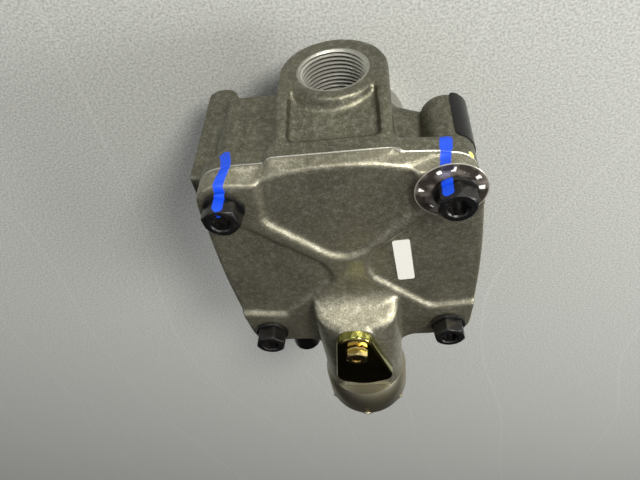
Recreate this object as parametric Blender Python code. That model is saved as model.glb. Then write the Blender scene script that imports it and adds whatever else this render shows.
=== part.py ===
"""Air brake relay valve, standing on its exhaust neck with the cover on top.

Metres, +Z up. The supply port faces +Y and the service fitting faces -Y.
Every piece is placed from the piston axis, which the empty main_axis carries.
"""

import math

import bmesh
import bpy
from mathutils import Matrix, Vector

MM = 0.001

# Clearances, how far a cutter or a joined form reaches past a face, and the usual broken edge
SEAT_GAP = 0.25 * MM
RUN_GAP = 0.3 * MM
OVER = 1.0 * MM
EDGE = 1.0 * MM

# Heights along the piston axis
PAD_TOP = 96.0 * MM
COVER_THICK = 8.5 * MM
FIELD_DEPTH = 2.0 * MM
FLANGE_THICK = 8.75 * MM
SEAM = PAD_TOP - COVER_THICK
BODY_TOP = SEAM - SEAT_GAP
FLANGE_LOW = BODY_TOP - FLANGE_THICK
FIELD_TOP = PAD_TOP - FIELD_DEPTH

# Bolt pattern and cover outline
BOLT_X = 41.3 * MM
BOLT_Y = 43.4 * MM
CORNER_R = 10.2 * MM
REAR_CORNER_R = 9.4 * MM
SIDE_BULGE = 2.0 * MM
CROWN_STEP = 2.3 * MM
CROWN_RIGHT = 22.2 * MM
CROWN_LEFT = -24.3 * MM
CROWN_ARC = 4.7 * MM
CROWN_ARC_HALF = 28.0 * MM
CROWN_TOP = 57.5 * MM
EDGE_ROUND = 2.2 * MM
FLANGE_EDGE = 1.5 * MM
COVER_EDGE_X = BOLT_X + CORNER_R
COVER_EDGE_Y = BOLT_Y + CORNER_R

# Cap screws
BOLT_R = 3.97 * MM
BOLT_HOLE_R = 4.3 * MM
BOLT_AF = 12.7 * MM
BOLT_HEAD = 6.2 * MM
BOLT_SOCKET_R = 3.3 * MM
BOLT_SOCKET_DEPTH = 3.6 * MM
BOLT_REACH = 20.0 * MM
WASHER_R = 7.8 * MM
WASHER_THICK = 1.7 * MM
COLUMN_R = 9.0 * MM
COLUMN_LOW = 52.5 * MM
LEFT_COLUMN_R = 7.0 * MM
WEB_Y = 44.0 * MM
WEB_LOW_IN = 45.5 * MM
WEB_LOW_OUT = 51.5 * MM

# Barrel and neck
RETAINER_BORE_R = 25.5 * MM
RING_GROOVE_R = RETAINER_BORE_R + 2.5 * MM
NECK_R = RING_GROOVE_R + 3.0 * MM
NECK_FLARE = 3.0 * MM
BARREL_R = 40.6 * MM
BARREL_LOW = 66.0 * MM
WAIST_LOW = 42.0 * MM
NECK_CHAMFER = 1.5 * MM

# Bores on the piston axis
PISTON_BORE_R = 36.0 * MM
PISTON_TOP_GAP = 0.35 * MM
PISTON_RIM = 12.0 * MM
PISTON_TRAVEL = 3.6 * MM
PISTON_FLOOR_GAP = 2.55 * MM
PISTON_BORE_LOW = SEAM - PISTON_TOP_GAP - PISTON_RIM - PISTON_TRAVEL - PISTON_FLOOR_GAP
DELIVERY_R = 27.0 * MM
DELIVERY_LOW = 58.0 * MM
INLET_R = 15.0 * MM
LIP_WIDTH = 1.6 * MM
LIP_LOW = 53.0 * MM
WEB_LOW = 54.0 * MM
SUPPLY_R = RETAINER_BORE_R - 2.5 * MM
RETAINER_SHOULDER = 31.0 * MM
RING_LOW = 2.7 * MM
RING_THICK = 1.7 * MM
RING_WIDTH = 4.9 * MM
RING_OPENING_DEG = 34.0
SEAL_GROOVE_IN = 38.4 * MM
SEAL_GROOVE_WIDTH = 3.4 * MM
SEAL_GROOVE_DEPTH = 2.6 * MM

# Supply port and its block
SUPPLY_Z = 44.5 * MM
SUPPLY_FACE = 62.3 * MM
SUPPLY_BOSS_R = 21.5 * MM
SUPPLY_MOUTH_R = 13.75 * MM
SUPPLY_DEPTH = 20.0 * MM
SUPPLY_PASSAGE_R = 9.2 * MM
SUPPLY_PASSAGE_END = SUPPLY_R - 3.0 * MM
BOSS_EDGE = 3.2 * MM
BLOCK_LEFT = -21.9 * MM
BLOCK_RIGHT = 21.5 * MM
BLOCK_TOP_Y = 57.5 * MM
BLOCK_LOW = SUPPLY_Z
POCKET_LEFT = -17.5 * MM
POCKET_RIGHT = 15.5 * MM
POCKET_DEPTH = 3.5 * MM
POCKET_LOW = 52.0 * MM
POCKET_HIGH = 81.0 * MM
POCKET_R = 3.5 * MM

# Left column, shelf and port slab
SHELF_LEFT = -47.0 * MM
SHELF_RIGHT = -27.3 * MM
SHELF_Y = 48.5 * MM
SHELF_BOTTOM_Y = -12.0 * MM
SHELF_LOW = 35.2 * MM
SLAB_FACE = -58.3 * MM
SLAB_BACK = -45.0 * MM
SLAB_TOP_Y = 43.2 * MM
SLAB_BOTTOM_Y = -16.0 * MM
SLAB_LOW = 22.3 * MM
SLAB_END_R = 5.5 * MM

# Delivery ports
DELIVERY_PORT_R = 8.6 * MM
DELIVERY_PORT_Z = 63.0 * MM
DELIVERY_PORT_DEPTH = 15.0 * MM
DELIVERY_PASSAGE_R = 4.6 * MM
DELIVERY_LEFT_Y = (-4.0 * MM, DELIVERY_R - 8.0 * MM)
DELIVERY_RIGHT_Y = 0.0 * MM
RIGHT_BOSS_FACE = 50.0 * MM
RIGHT_BOSS_R = 14.0 * MM

# Plugged port under the cover's lower left edge
PLUG_X = -31.0 * MM
PLUG_Z = 78.6 * MM
PLUG_BOSS_R = 8.0 * MM
PLUG_BOSS_FACE = -66.0 * MM
PLUG_HEAD_R = 6.3 * MM
PLUG_HEAD = 16.5 * MM
PLUG_SHANK_R = 4.2 * MM
PLUG_SHANK = 12.0 * MM

# Service housing on the cover
HOUSING_R = 19.0 * MM
HOUSING_X = 0.6 * MM
HOUSING_FACE = -76.0 * MM
HOUSING_FLAT = 14.0 * MM
HOUSING_SLOPE_Y = -18.5 * MM
HOUSING_SLOPE_DEG = 62.0
HOUSING_FILLET = 8.5 * MM
HOUSING_SINK = 0.7 * MM
SPIGOT_BORE_R = 12.0 * MM
SPIGOT_BORE_END = -64.0 * MM
SHUTTLE_BORE_R = 7.0 * MM
SHUTTLE_LENGTH = 6.0 * MM
SHUTTLE_TRAVEL = 11.0 * MM
SHUTTLE_WAIST_R = 5.0 * MM
SHUTTLE_BORE_END = SPIGOT_BORE_END + SHUTTLE_LENGTH + SHUTTLE_TRAVEL + 2 * SEAT_GAP
CONTROL_R = 4.0 * MM
CONTROL_END = -28.0 * MM
CONTROL_DROP_Y = -30.0 * MM
CONTROL_DROP_R = 3.2 * MM
CONTROL_RECESS_R = 33.0 * MM
CONTROL_RECESS = 2.8 * MM
BALANCE_X = 1.5 * MM
BALANCE_Y = -53.5 * MM
BALANCE_R = 8.2 * MM
BALANCE_DEPTH = 4.6 * MM
BALANCE_DROP_R = 3.0 * MM

# Service fitting
FITTING_ROUND_R = 18.0 * MM
FITTING_ROUND = 13.3 * MM
FITTING_HEX = 10.0 * MM
FITTING_AF = 36.4 * MM
FITTING_TURN_DEG = 6.0
FITTING_MOUTH_R = 8.6 * MM
FITTING_MOUTH_DEPTH = 15.0 * MM
FITTING_BORE_R = 4.6 * MM
FITTING_SEAL_Y = 8.0 * MM
FITTING_SEAL_WIDTH = 3.0 * MM
FITTING_SEAL_DEPTH = 2.6 * MM

# Shield and its screw
SHIELD_HEIGHT = 4.0 * MM
SHIELD_WALL = 1.0 * MM
SHIELD_TIP = (-0.6 * MM, -31.8 * MM, 8.2 * MM)
SHIELD_RIGHT = (9.0 * MM, -58.6 * MM, 5.6 * MM)
SHIELD_LEFT = (-5.4 * MM, -58.0 * MM, 6.4 * MM)
SHIELD_BOTTOM = (1.0 * MM, -50.6 * MM, 16.0 * MM)
SHIELD_SCREW_X = -0.1 * MM
SHIELD_SCREW_Y = -34.3 * MM
SHIELD_SCREW_R = 2.2 * MM
SHIELD_SCREW_AF = 8.6 * MM
SHIELD_SCREW_HEAD = 3.6 * MM
SHIELD_SCREW_REACH = 8.0 * MM

# Relay piston
PISTON_RIM_WALL = 4.6 * MM
PISTON_WEB = 4.0 * MM
PISTON_DISH = 3.0 * MM
PISTON_STEM_R = 10.0 * MM
PISTON_STEM_BORE_R = 8.4 * MM
PISTON_STEM_BORE = 14.0 * MM
PISTON_RIBS = 6
PISTON_RIB_WIDTH = 2.2 * MM
PISTON_GROOVE_WIDTH = 3.6 * MM
PISTON_GROOVE_DEPTH = 3.2 * MM
PISTON_GROOVE_DROP = 4.2 * MM
LAP = 2.1 * MM

# Inlet and exhaust valve
FACE_THICK = 3.2 * MM
FACE_R = 18.5 * MM
SLEEVE_R = 8.0 * MM
SLEEVE_BORE_R = 6.4 * MM
SLEEVE_LOW = 16.0 * MM
SLEEVE_DISC = 2.6 * MM
SLEEVE_DISC_R = 17.6 * MM

# Retainer, spring and exhaust parts
RETAINER_LOW = 9.4 * MM
RETAINER_TOWER = 34.0 * MM
RETAINER_TOWER_R = 15.5 * MM
CHAMBER_R = 18.0 * MM
CHAMBER_TOP = 22.5 * MM
OUTER_SEAL_Z = 26.0 * MM
OUTER_SEAL_WIDTH = 3.0 * MM
OUTER_SEAL_DEPTH = 2.6 * MM
INNER_SEAL_Z = 28.5 * MM
SPRING_WIRE_R = 0.9 * MM
SPRING_R = 12.2 * MM
SPRING_TURNS = 4.5
EXHAUST_COVER_THICK = 4.1 * MM
EXHAUST_HOLES = 6
EXHAUST_HOLE_R = 3.4 * MM
EXHAUST_HOLE_CIRCLE = 11.5 * MM
DIAPHRAGM_R = 18.0 * MM
DIAPHRAGM_THICK = 1.3 * MM
DIAPHRAGM_WASHER_R = 6.0 * MM
DIAPHRAGM_WASHER = 0.8 * MM
DIAPHRAGM_SCREW_R = 2.0 * MM
DIAPHRAGM_SCREW_HEAD_R = 3.8 * MM
DIAPHRAGM_SCREW_HEAD = 1.6 * MM
DIAPHRAGM_SCREW_TIP = 2.0 * MM

# Tag and labels
TAG_X = 39.8 * MM
TAG_Y = 43.5 * MM
TAG_R = 12.8 * MM
TAG_THICK = 0.5 * MM
LABEL_X = 22.8 * MM
LABEL_Y = 1.4 * MM
LABEL_WIDTH = 7.8 * MM
LABEL_LENGTH = 26.0 * MM
LABEL_THICK = 0.3 * MM
LABEL_TURN_DEG = -2.5
SIDE_LABEL_START_DEG = -22.0
SIDE_LABEL_END_DEG = 96.0
SIDE_LABEL_EDGE = 1.5 * MM

# The origin is under the middle of the outline
FITTING_END = HOUSING_FACE - SEAT_GAP - FITTING_ROUND - FITTING_HEX
MAIN_X = -(SLAB_FACE + COVER_EDGE_X + SIDE_BULGE) / 2
MAIN_Y = -(FITTING_END + SUPPLY_FACE) / 2

# The exact solver leaves open edges on these two
MANIFOLD_CASTINGS = ("valve_body", "valve_cover")

FINE = 36
COARSE = 16
SMALL = 24
HOUSING_FACETS = 36


def clear_scene():
    for obj in list(bpy.data.objects):
        bpy.data.objects.remove(obj, do_unlink=True)


def make_material(name, colour, roughness, metallic):
    material = bpy.data.materials.new(name)
    material.use_nodes = True
    shader = material.node_tree.nodes["Principled BSDF"]
    shader.inputs["Base Color"].default_value = (*colour, 1.0)
    shader.inputs["Roughness"].default_value = roughness
    shader.inputs["Metallic"].default_value = metallic
    return material


def add_object(name, mesh_data, material=None, location=(0, 0, 0)):
    """Link a mesh, or a bmesh, as an object under the main axis."""
    if isinstance(mesh_data, bmesh.types.BMesh):
        mesh = bpy.data.meshes.new(name)
        bmesh.ops.recalc_face_normals(mesh_data, faces=mesh_data.faces)
        mesh_data.to_mesh(mesh)
        mesh_data.free()
    else:
        mesh = mesh_data
    obj = bpy.data.objects.new(name, mesh)
    bpy.context.scene.collection.objects.link(obj)
    obj.parent = main_axis
    obj.location = location
    if material:
        mesh.materials.clear()
        mesh.materials.append(material)
        mesh.shade_smooth()
        mesh.set_sharp_from_angle(angle=math.radians(35))
    return obj


def boolean(obj, tool, operation):
    """Cut or join a tool, which stays as a hidden wire guide."""
    modifier = obj.modifiers.new(tool.name, "BOOLEAN")
    modifier.operation = operation
    modifier.solver = "MANIFOLD" if obj.name in MANIFOLD_CASTINGS else "EXACT"
    modifier.object = tool
    tool.hide_render = True
    tool.display_type = "WIRE"


def cut(obj, *tools):
    for tool in tools:
        boolean(obj, tool, "DIFFERENCE")


def join(obj, *tools):
    for tool in tools:
        boolean(obj, tool, "UNION")


def arc(centre, radius, start, end, steps):
    """Points on an arc, angles in degrees."""
    points = []
    for i in range(steps + 1):
        angle = math.radians(start + (end - start) * i / steps)
        points.append((centre[0] + radius * math.cos(angle), centre[1] + radius * math.sin(angle)))
    return points


def rounded_box(left, right, low, high, radius, steps=4):
    """Outline of a rectangle with round corners."""
    points = arc((right - radius, low + radius), radius, -90, 0, steps)
    points += arc((right - radius, high - radius), radius, 0, 90, steps)
    points += arc((left + radius, high - radius), radius, 90, 180, steps)
    points += arc((left + radius, low + radius), radius, 180, 270, steps)
    return points


def prism(outline, low, high):
    """Extrude an outline in XY from one height to another."""
    bm = bmesh.new()
    face = bm.faces.new([bm.verts.new((x, y, low)) for x, y in outline])
    result = bmesh.ops.extrude_face_region(bm, geom=[face])
    raised = [item for item in result["geom"] if isinstance(item, bmesh.types.BMVert)]
    bmesh.ops.translate(bm, verts=raised, vec=(0, 0, high - low))
    return bm


def lathe(profile, steps=FINE):
    """Turn a closed profile of radius and height about Z."""
    bm = bmesh.new()
    verts = [bm.verts.new((radius, 0, height)) for radius, height in profile]
    edges = []
    for i, vert in enumerate(verts):
        following = verts[(i + 1) % len(verts)]
        if vert.co.x > 0 or following.co.x > 0:
            edges.append(bm.edges.new((vert, following)))
    bmesh.ops.spin(bm, geom=edges, cent=(0, 0, 0), axis=(0, 0, 1), angle=math.tau, steps=steps, use_merge=True)
    bmesh.ops.remove_doubles(bm, verts=bm.verts, dist=1e-7)
    return bm


def turned_to_y(bm):
    """Lay a shape made along Z so that its +Z points along -Y."""
    bmesh.ops.transform(bm, matrix=Matrix.Rotation(math.pi / 2, 4, "X"), verts=bm.verts)
    return bm


def turned_to_x(bm):
    """Lay a shape made along Z so that its +Z points along -X."""
    bmesh.ops.transform(bm, matrix=Matrix.Rotation(-math.pi / 2, 4, "Y"), verts=bm.verts)
    return bm


def moved(bm, x=0.0, y=0.0, z=0.0):
    bmesh.ops.translate(bm, verts=bm.verts, vec=(x, y, z))
    return bm


def rod(radius, low, high, steps=COARSE):
    return lathe([(0, low), (radius, low), (radius, high), (0, high)], steps)


def ring_profile(centre_r, tube_r, height, steps=6):
    """Round section of a sealing ring."""
    return [(centre_r + x, height + z) for x, z in arc((0, 0), tube_r, 0, 360, steps)[:-1]]


def hexagon(across_flats, turn=0.0):
    radius = across_flats / math.sqrt(3)
    return arc((0, 0), radius, turn, turn + 300, 5)


def chamfered_hex(across_flats, low, high, chamfer, turn=0.0):
    """Hexagon whose upper corners are turned off."""
    corner_r = across_flats / math.sqrt(3)
    top_r = across_flats / 2 * 0.97
    drop = (corner_r - top_r) * math.tan(math.radians(30)) + chamfer
    prism_part = prism(hexagon(across_flats, turn), low, high)
    cone = lathe([(0, low - chamfer), (corner_r + chamfer, low - chamfer), (corner_r + chamfer, high - drop),
                  (top_r, high), (0, high)], COARSE)
    return prism_part, cone


def bevel_top(bm, height, width, steps):
    """Round the edges that lie in the plane of one height."""
    edges = [e for e in bm.edges if all(abs(v.co.z - height) < 1e-7 for v in e.verts)]
    bmesh.ops.bevel(bm, geom=edges, offset=width, segments=steps, profile=0.5, affect="EDGES", clamp_overlap=True)
    return bm


def side_bulge(y):
    return COVER_EDGE_X + SIDE_BULGE * (1 - (y / BOLT_Y) ** 2)


def seam_crown(inset):
    """Rear edge at the joint face, right to left: a raised middle between two small steps."""
    low = CROWN_TOP - CROWN_STEP - inset
    high = CROWN_TOP - inset
    half_step = CROWN_STEP / 2
    points = [(BOLT_X - 5 * MM, low - OVER), (CROWN_RIGHT + half_step, low), (CROWN_RIGHT - half_step, high)]
    points += [(CROWN_RIGHT * k / 4, high) for k in (2, 1, 0, -1, -2)]
    points += [(CROWN_LEFT + half_step, high), (CROWN_LEFT - half_step, low), (-BOLT_X + 4 * MM, low)]
    return points


def top_crown(inset):
    """Rear edge at the outer face, right to left: one shallow arc."""
    radius = (CROWN_ARC_HALF ** 2 + CROWN_ARC ** 2) / (2 * CROWN_ARC)
    half = math.degrees(math.asin(CROWN_ARC_HALF / radius))
    return arc((0, CROWN_TOP - inset - radius), radius, 90 - half, 90 + half, 10)


def plate_outline(with_housing, inset=0.0, crown=seam_crown):
    """Outline shared by the cover and the body flange, anticlockwise from the lower right corner."""
    corner = CORNER_R - inset
    rear = REAR_CORNER_R - inset
    points = arc((BOLT_X, -BOLT_Y), corner, -90, -4, 5)
    side = [BOLT_Y * k / 4 for k in range(-3, 4)]
    points += [(side_bulge(y) - inset, y) for y in side]
    points += arc((BOLT_X - 0.4 * MM, BOLT_Y), rear, 4, 84, 5)
    points += crown(inset)
    points += arc((-BOLT_X, BOLT_Y + 0.8 * MM), corner, 96, 176, 5)
    points += [(-side_bulge(y) + inset, y) for y in reversed(side)]
    points += arc((-BOLT_X, -BOLT_Y), corner, 184, 270, 5)
    if with_housing:
        reach = HOUSING_R - HOUSING_SINK + HOUSING_FILLET - inset
        low = -COVER_EDGE_Y - HOUSING_FILLET + inset
        radius = HOUSING_FILLET
        points += arc((HOUSING_X - reach, low), radius, 90, 0, 5)
        points += arc((HOUSING_X + reach, low), radius, 180, 90, 5)
    return points


def lofted(low_outline, high_outline, low, high):
    """Closed wall between two outlines of as many points."""
    bm = prism(low_outline, low, high)
    for vert in [v for v in bm.verts if abs(v.co.z - high) < 1e-7]:
        nearest = min(range(len(low_outline)), key=lambda n: (low_outline[n][0] - vert.co.x) ** 2
                      + (low_outline[n][1] - vert.co.y) ** 2)
        vert.co.x = high_outline[nearest][0]
        vert.co.y = high_outline[nearest][1]
    return bm


def bolt_places():
    return [(BOLT_X, BOLT_Y), (-BOLT_X, BOLT_Y), (-BOLT_X, -BOLT_Y), (BOLT_X, -BOLT_Y)]


def pocketed_block():
    """Supply block with the shallow pocket on its +Y face."""
    block = add_object("block_form", prism(
        rounded_box(BLOCK_LEFT, BLOCK_RIGHT, 0.0, BLOCK_TOP_Y, 1.5 * MM, 2), BLOCK_LOW, FLANGE_LOW + SEAT_GAP))
    outline = rounded_box(POCKET_LEFT, POCKET_RIGHT, POCKET_LOW, POCKET_HIGH, POCKET_R)
    pocket = turned_to_y(prism([(x, z) for x, z in outline], -BLOCK_TOP_Y - OVER, -BLOCK_TOP_Y + POCKET_DEPTH))
    cut(block, add_object("pocket_cutter", pocket))
    return block


def supply_boss():
    profile = [(0, -SUPPLY_FACE), (SUPPLY_BOSS_R - BOSS_EDGE, -SUPPLY_FACE)]
    profile += [(SUPPLY_BOSS_R - BOSS_EDGE + x, -SUPPLY_FACE + BOSS_EDGE + z)
                for x, z in arc((0, 0), BOSS_EDGE, -90, 0, 4)[1:]]
    profile += [(SUPPLY_BOSS_R, -INLET_R), (0, -INLET_R)]
    return add_object("supply_boss_form", moved(turned_to_y(lathe(profile)), z=SUPPLY_Z))


def port_slab():
    """Flat slab on the left that carries two delivery ports, round at its lower end."""
    outline = [(SLAB_BACK, FLANGE_LOW + 2 * SEAT_GAP), (SLAB_FACE, FLANGE_LOW + 2 * SEAT_GAP)]
    outline += arc((SLAB_FACE + SLAB_END_R, SLAB_LOW + SLAB_END_R), SLAB_END_R, 180, 270, 4)
    outline += arc((SLAB_BACK - SLAB_END_R, SLAB_LOW + SLAB_END_R), SLAB_END_R, 270, 360, 4)
    return add_object("slab_form", turned_to_y(prism(outline, -SLAB_TOP_Y, -SLAB_BOTTOM_Y)))


def left_mass():
    """Shelf between the barrel and the slab, with the bolt column that stands out of it."""
    shelf = prism(rounded_box(SHELF_LEFT, SHELF_RIGHT, SHELF_BOTTOM_Y, SHELF_Y, 2.0 * MM, 2), SHELF_LOW,
                  FLANGE_LOW + 3 * SEAT_GAP)
    column = moved(rod(LEFT_COLUMN_R, COLUMN_LOW, FLANGE_LOW + 4 * SEAT_GAP, 32), -BOLT_X, BOLT_Y)
    return add_object("shelf_form", shelf), add_object("left_column_form", column)


def column_web():
    """Web between the supply block and the right column, its lower edge on a slope."""
    outline = [(BLOCK_RIGHT - 3 * MM, FLANGE_LOW + 6 * SEAT_GAP), (BLOCK_RIGHT - 3 * MM, WEB_LOW_IN),
               (BLOCK_RIGHT, WEB_LOW_IN), (BOLT_X - COLUMN_R + OVER, WEB_LOW_OUT), (BOLT_X, WEB_LOW_OUT),
               (BOLT_X, FLANGE_LOW + 6 * SEAT_GAP)]
    return add_object("web_form", turned_to_y(prism(outline, -WEB_Y, -BOLT_Y / 2)))


def body_bore():
    """All the bores on the piston axis, as one turned cutter."""
    lip_r = INLET_R + LIP_WIDTH
    ring_top = RING_LOW + RING_THICK + 2 * SEAT_GAP
    return lathe([
        (0, PAD_TOP), (PISTON_BORE_R, PAD_TOP), (PISTON_BORE_R, PISTON_BORE_LOW), (DELIVERY_R, PISTON_BORE_LOW),
        (DELIVERY_R, DELIVERY_LOW), (INLET_R, DELIVERY_LOW), (INLET_R, LIP_LOW), (lip_r, LIP_LOW),
        (lip_r, WEB_LOW), (SUPPLY_R, WEB_LOW), (SUPPLY_R, RETAINER_SHOULDER),
        (RETAINER_BORE_R, RETAINER_SHOULDER), (RETAINER_BORE_R, ring_top), (RING_GROOVE_R, ring_top),
        (RING_GROOVE_R, RING_LOW), (RETAINER_BORE_R, RING_LOW), (RETAINER_BORE_R, -OVER), (0, -OVER)])


def make_body(material):
    profile = [(0, 0), (NECK_R - NECK_CHAMFER, 0), (NECK_R, NECK_CHAMFER), (NECK_R, WAIST_LOW),
               (NECK_R + NECK_FLARE, DELIVERY_LOW - 2 * OVER), (BARREL_R, BARREL_LOW), (BARREL_R, FLANGE_LOW + OVER),
               (0, FLANGE_LOW + OVER)]
    body = add_object("valve_body", lathe(profile), material)
    flange = lofted(plate_outline(False, FLANGE_EDGE), plate_outline(False), FLANGE_LOW, FLANGE_LOW + FLANGE_EDGE)
    join(body, add_object("flange_edge_form", flange))
    flange_low = FLANGE_LOW + FLANGE_EDGE - SEAT_GAP
    join(body, add_object("flange_form", prism(plate_outline(False, 0.01 * MM), flange_low, BODY_TOP)))
    column_top = FLANGE_LOW + 5 * SEAT_GAP
    for n, (x, y) in enumerate(bolt_places()):
        if n != 1:
            column = moved(rod(COLUMN_R, COLUMN_LOW, column_top, 32), x, y)
            join(body, add_object("column_form_%d" % (n + 1), column))
    join(body, *left_mass(), port_slab(), pocketed_block(), supply_boss(), column_web())
    right_boss = moved(turned_to_x(rod(RIGHT_BOSS_R, -RIGHT_BOSS_FACE, -DELIVERY_R, 32)),
                       y=DELIVERY_RIGHT_Y, z=DELIVERY_PORT_Z)
    plug_boss = moved(turned_to_y(rod(PLUG_BOSS_R, PISTON_BORE_R + OVER, -PLUG_BOSS_FACE)), x=PLUG_X, z=PLUG_Z)
    join(body, add_object("right_boss_form", right_boss), add_object("plug_boss_form", plug_boss))

    cut(body, add_object("bore_cutter", body_bore()))
    groove = lathe([(SEAL_GROOVE_IN, BODY_TOP - SEAL_GROOVE_DEPTH),
                    (SEAL_GROOVE_IN + SEAL_GROOVE_WIDTH, BODY_TOP - SEAL_GROOVE_DEPTH),
                    (SEAL_GROOVE_IN + SEAL_GROOVE_WIDTH, PAD_TOP), (SEAL_GROOVE_IN, PAD_TOP)])
    cut(body, add_object("seal_groove_cutter", groove))
    supply = lathe([(0, -SUPPLY_FACE - OVER), (SUPPLY_MOUTH_R, -SUPPLY_FACE - OVER),
                    (SUPPLY_MOUTH_R, -SUPPLY_FACE + SUPPLY_DEPTH),
                    (SUPPLY_PASSAGE_R, -SUPPLY_FACE + SUPPLY_DEPTH + 3 * MM),
                    (SUPPLY_PASSAGE_R, -SUPPLY_PASSAGE_END), (0, -SUPPLY_PASSAGE_END)], FINE)
    cut(body, add_object("supply_cutter", moved(turned_to_y(supply), z=SUPPLY_Z)))
    ports = [(y, SLAB_FACE, -1) for y in DELIVERY_LEFT_Y] + [(DELIVERY_RIGHT_Y, RIGHT_BOSS_FACE, 1)]
    for n, (y, face, side) in enumerate(ports):
        outer = abs(face) + OVER
        inner = abs(face) - DELIVERY_PORT_DEPTH
        reach = math.sqrt(DELIVERY_R ** 2 - (abs(y) + DELIVERY_PASSAGE_R) ** 2) - OVER
        profile = [(0, reach), (DELIVERY_PASSAGE_R, reach), (DELIVERY_PASSAGE_R, inner - 2 * MM),
                   (DELIVERY_PORT_R, inner), (DELIVERY_PORT_R, outer), (0, outer)]
        port = turned_to_x(lathe(profile, COARSE))
        if side > 0:
            bmesh.ops.rotate(port, verts=port.verts, cent=(0, 0, 0), matrix=Matrix.Rotation(math.pi, 3, "Z"))
        cut(body, add_object("delivery_cutter_%d" % (n + 1), moved(port, y=y, z=DELIVERY_PORT_Z)))
    for n, (x, y) in enumerate(bolt_places()):
        hole = moved(rod(BOLT_HOLE_R, SEAM - BOLT_REACH - 3 * MM, PAD_TOP), x, y)
        cut(body, add_object("tapped_hole_cutter_%d" % (n + 1), hole))
    plug_hole = rod(PLUG_SHANK_R + RUN_GAP, -PLUG_BOSS_FACE - PLUG_SHANK - OVER, -PLUG_BOSS_FACE + OVER)
    cut(body, add_object("plug_hole_cutter", moved(turned_to_y(plug_hole), x=PLUG_X, z=PLUG_Z)))
    return body


def field_outlines():
    """Sunken fields between the crossed ribs: top, left and right."""
    def mm(points):
        return [(x * MM, y * MM) for x, y in points]

    top = mm([(-27.0, 70.0), (-27.3, 52.2), (-28.1, 40.4), (-29.0, 34.5), (-27.6, 31.2), (-8.6, 12.4), (-5.0, 9.7),
              (0.0, 8.7), (5.0, 9.7), (8.6, 12.4), (26.0, 31.4), (27.4, 34.5), (27.5, 54.0), (28.5, 70.0)])
    left = mm([(-10.6, 5.8), (-12.6, 7.6), (-36.0, 29.4), (-40.0, 31.0), (-70.0, 31.0), (-70.0, -29.5),
               (-49.4, -28.6), (-36.0, -30.8), (-32.0, -30.6), (-8.6, -7.0), (-7.2, -4.0), (-7.8, -1.0)])
    right = mm([(9.8, 6.6), (8.6, 3.5), (8.2, -0.6), (9.9, -6.2), (31.0, -28.0), (34.5, -30.0), (51.0, -28.6),
                (70.0, -29.5), (70.0, 31.0), (40.0, 31.0), (36.0, 30.2), (11.6, 8.6)])
    return {"top": top, "left": left, "right": right}


def trimmed(bm, point, normal):
    """Cut a closed form by a plane, drop the side the normal points to and close it."""
    geometry = bm.verts[:] + bm.edges[:] + bm.faces[:]
    bmesh.ops.bisect_plane(bm, geom=geometry, plane_co=point, plane_no=normal, clear_outer=True, dist=1e-7)
    bmesh.ops.contextual_create(bm, geom=[e for e in bm.edges if e.is_boundary])
    return bm


def housing_form():
    """Round service housing with a sloped rear end, a flat top and a notch that clears the body."""
    form = rod(HOUSING_R, OVER, -HOUSING_FACE, HOUSING_FACETS)
    half_facet = Matrix.Rotation(math.pi / HOUSING_FACETS, 3, "Z")
    bmesh.ops.rotate(form, verts=form.verts, cent=(0, 0, 0), matrix=half_facet)
    form = moved(turned_to_y(form), x=HOUSING_X, z=PAD_TOP)
    slope = math.radians(HOUSING_SLOPE_DEG)
    trimmed(form, Vector((0, HOUSING_SLOPE_Y, PAD_TOP)), Vector((0, math.sin(slope), math.cos(slope))))
    trimmed(form, Vector((0, 0, PAD_TOP + HOUSING_FLAT)), Vector((0, 0, 1)))
    housing = add_object("housing_form", form)
    clear_y = -COVER_EDGE_Y - SEAT_GAP - RUN_GAP
    notch = prism([(-BOLT_X, clear_y), (BOLT_X, clear_y), (BOLT_X, BOLT_Y), (-BOLT_X, BOLT_Y)], 0, SEAM + OVER)
    cut(housing, add_object("housing_notch_cutter", notch))
    return housing


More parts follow.
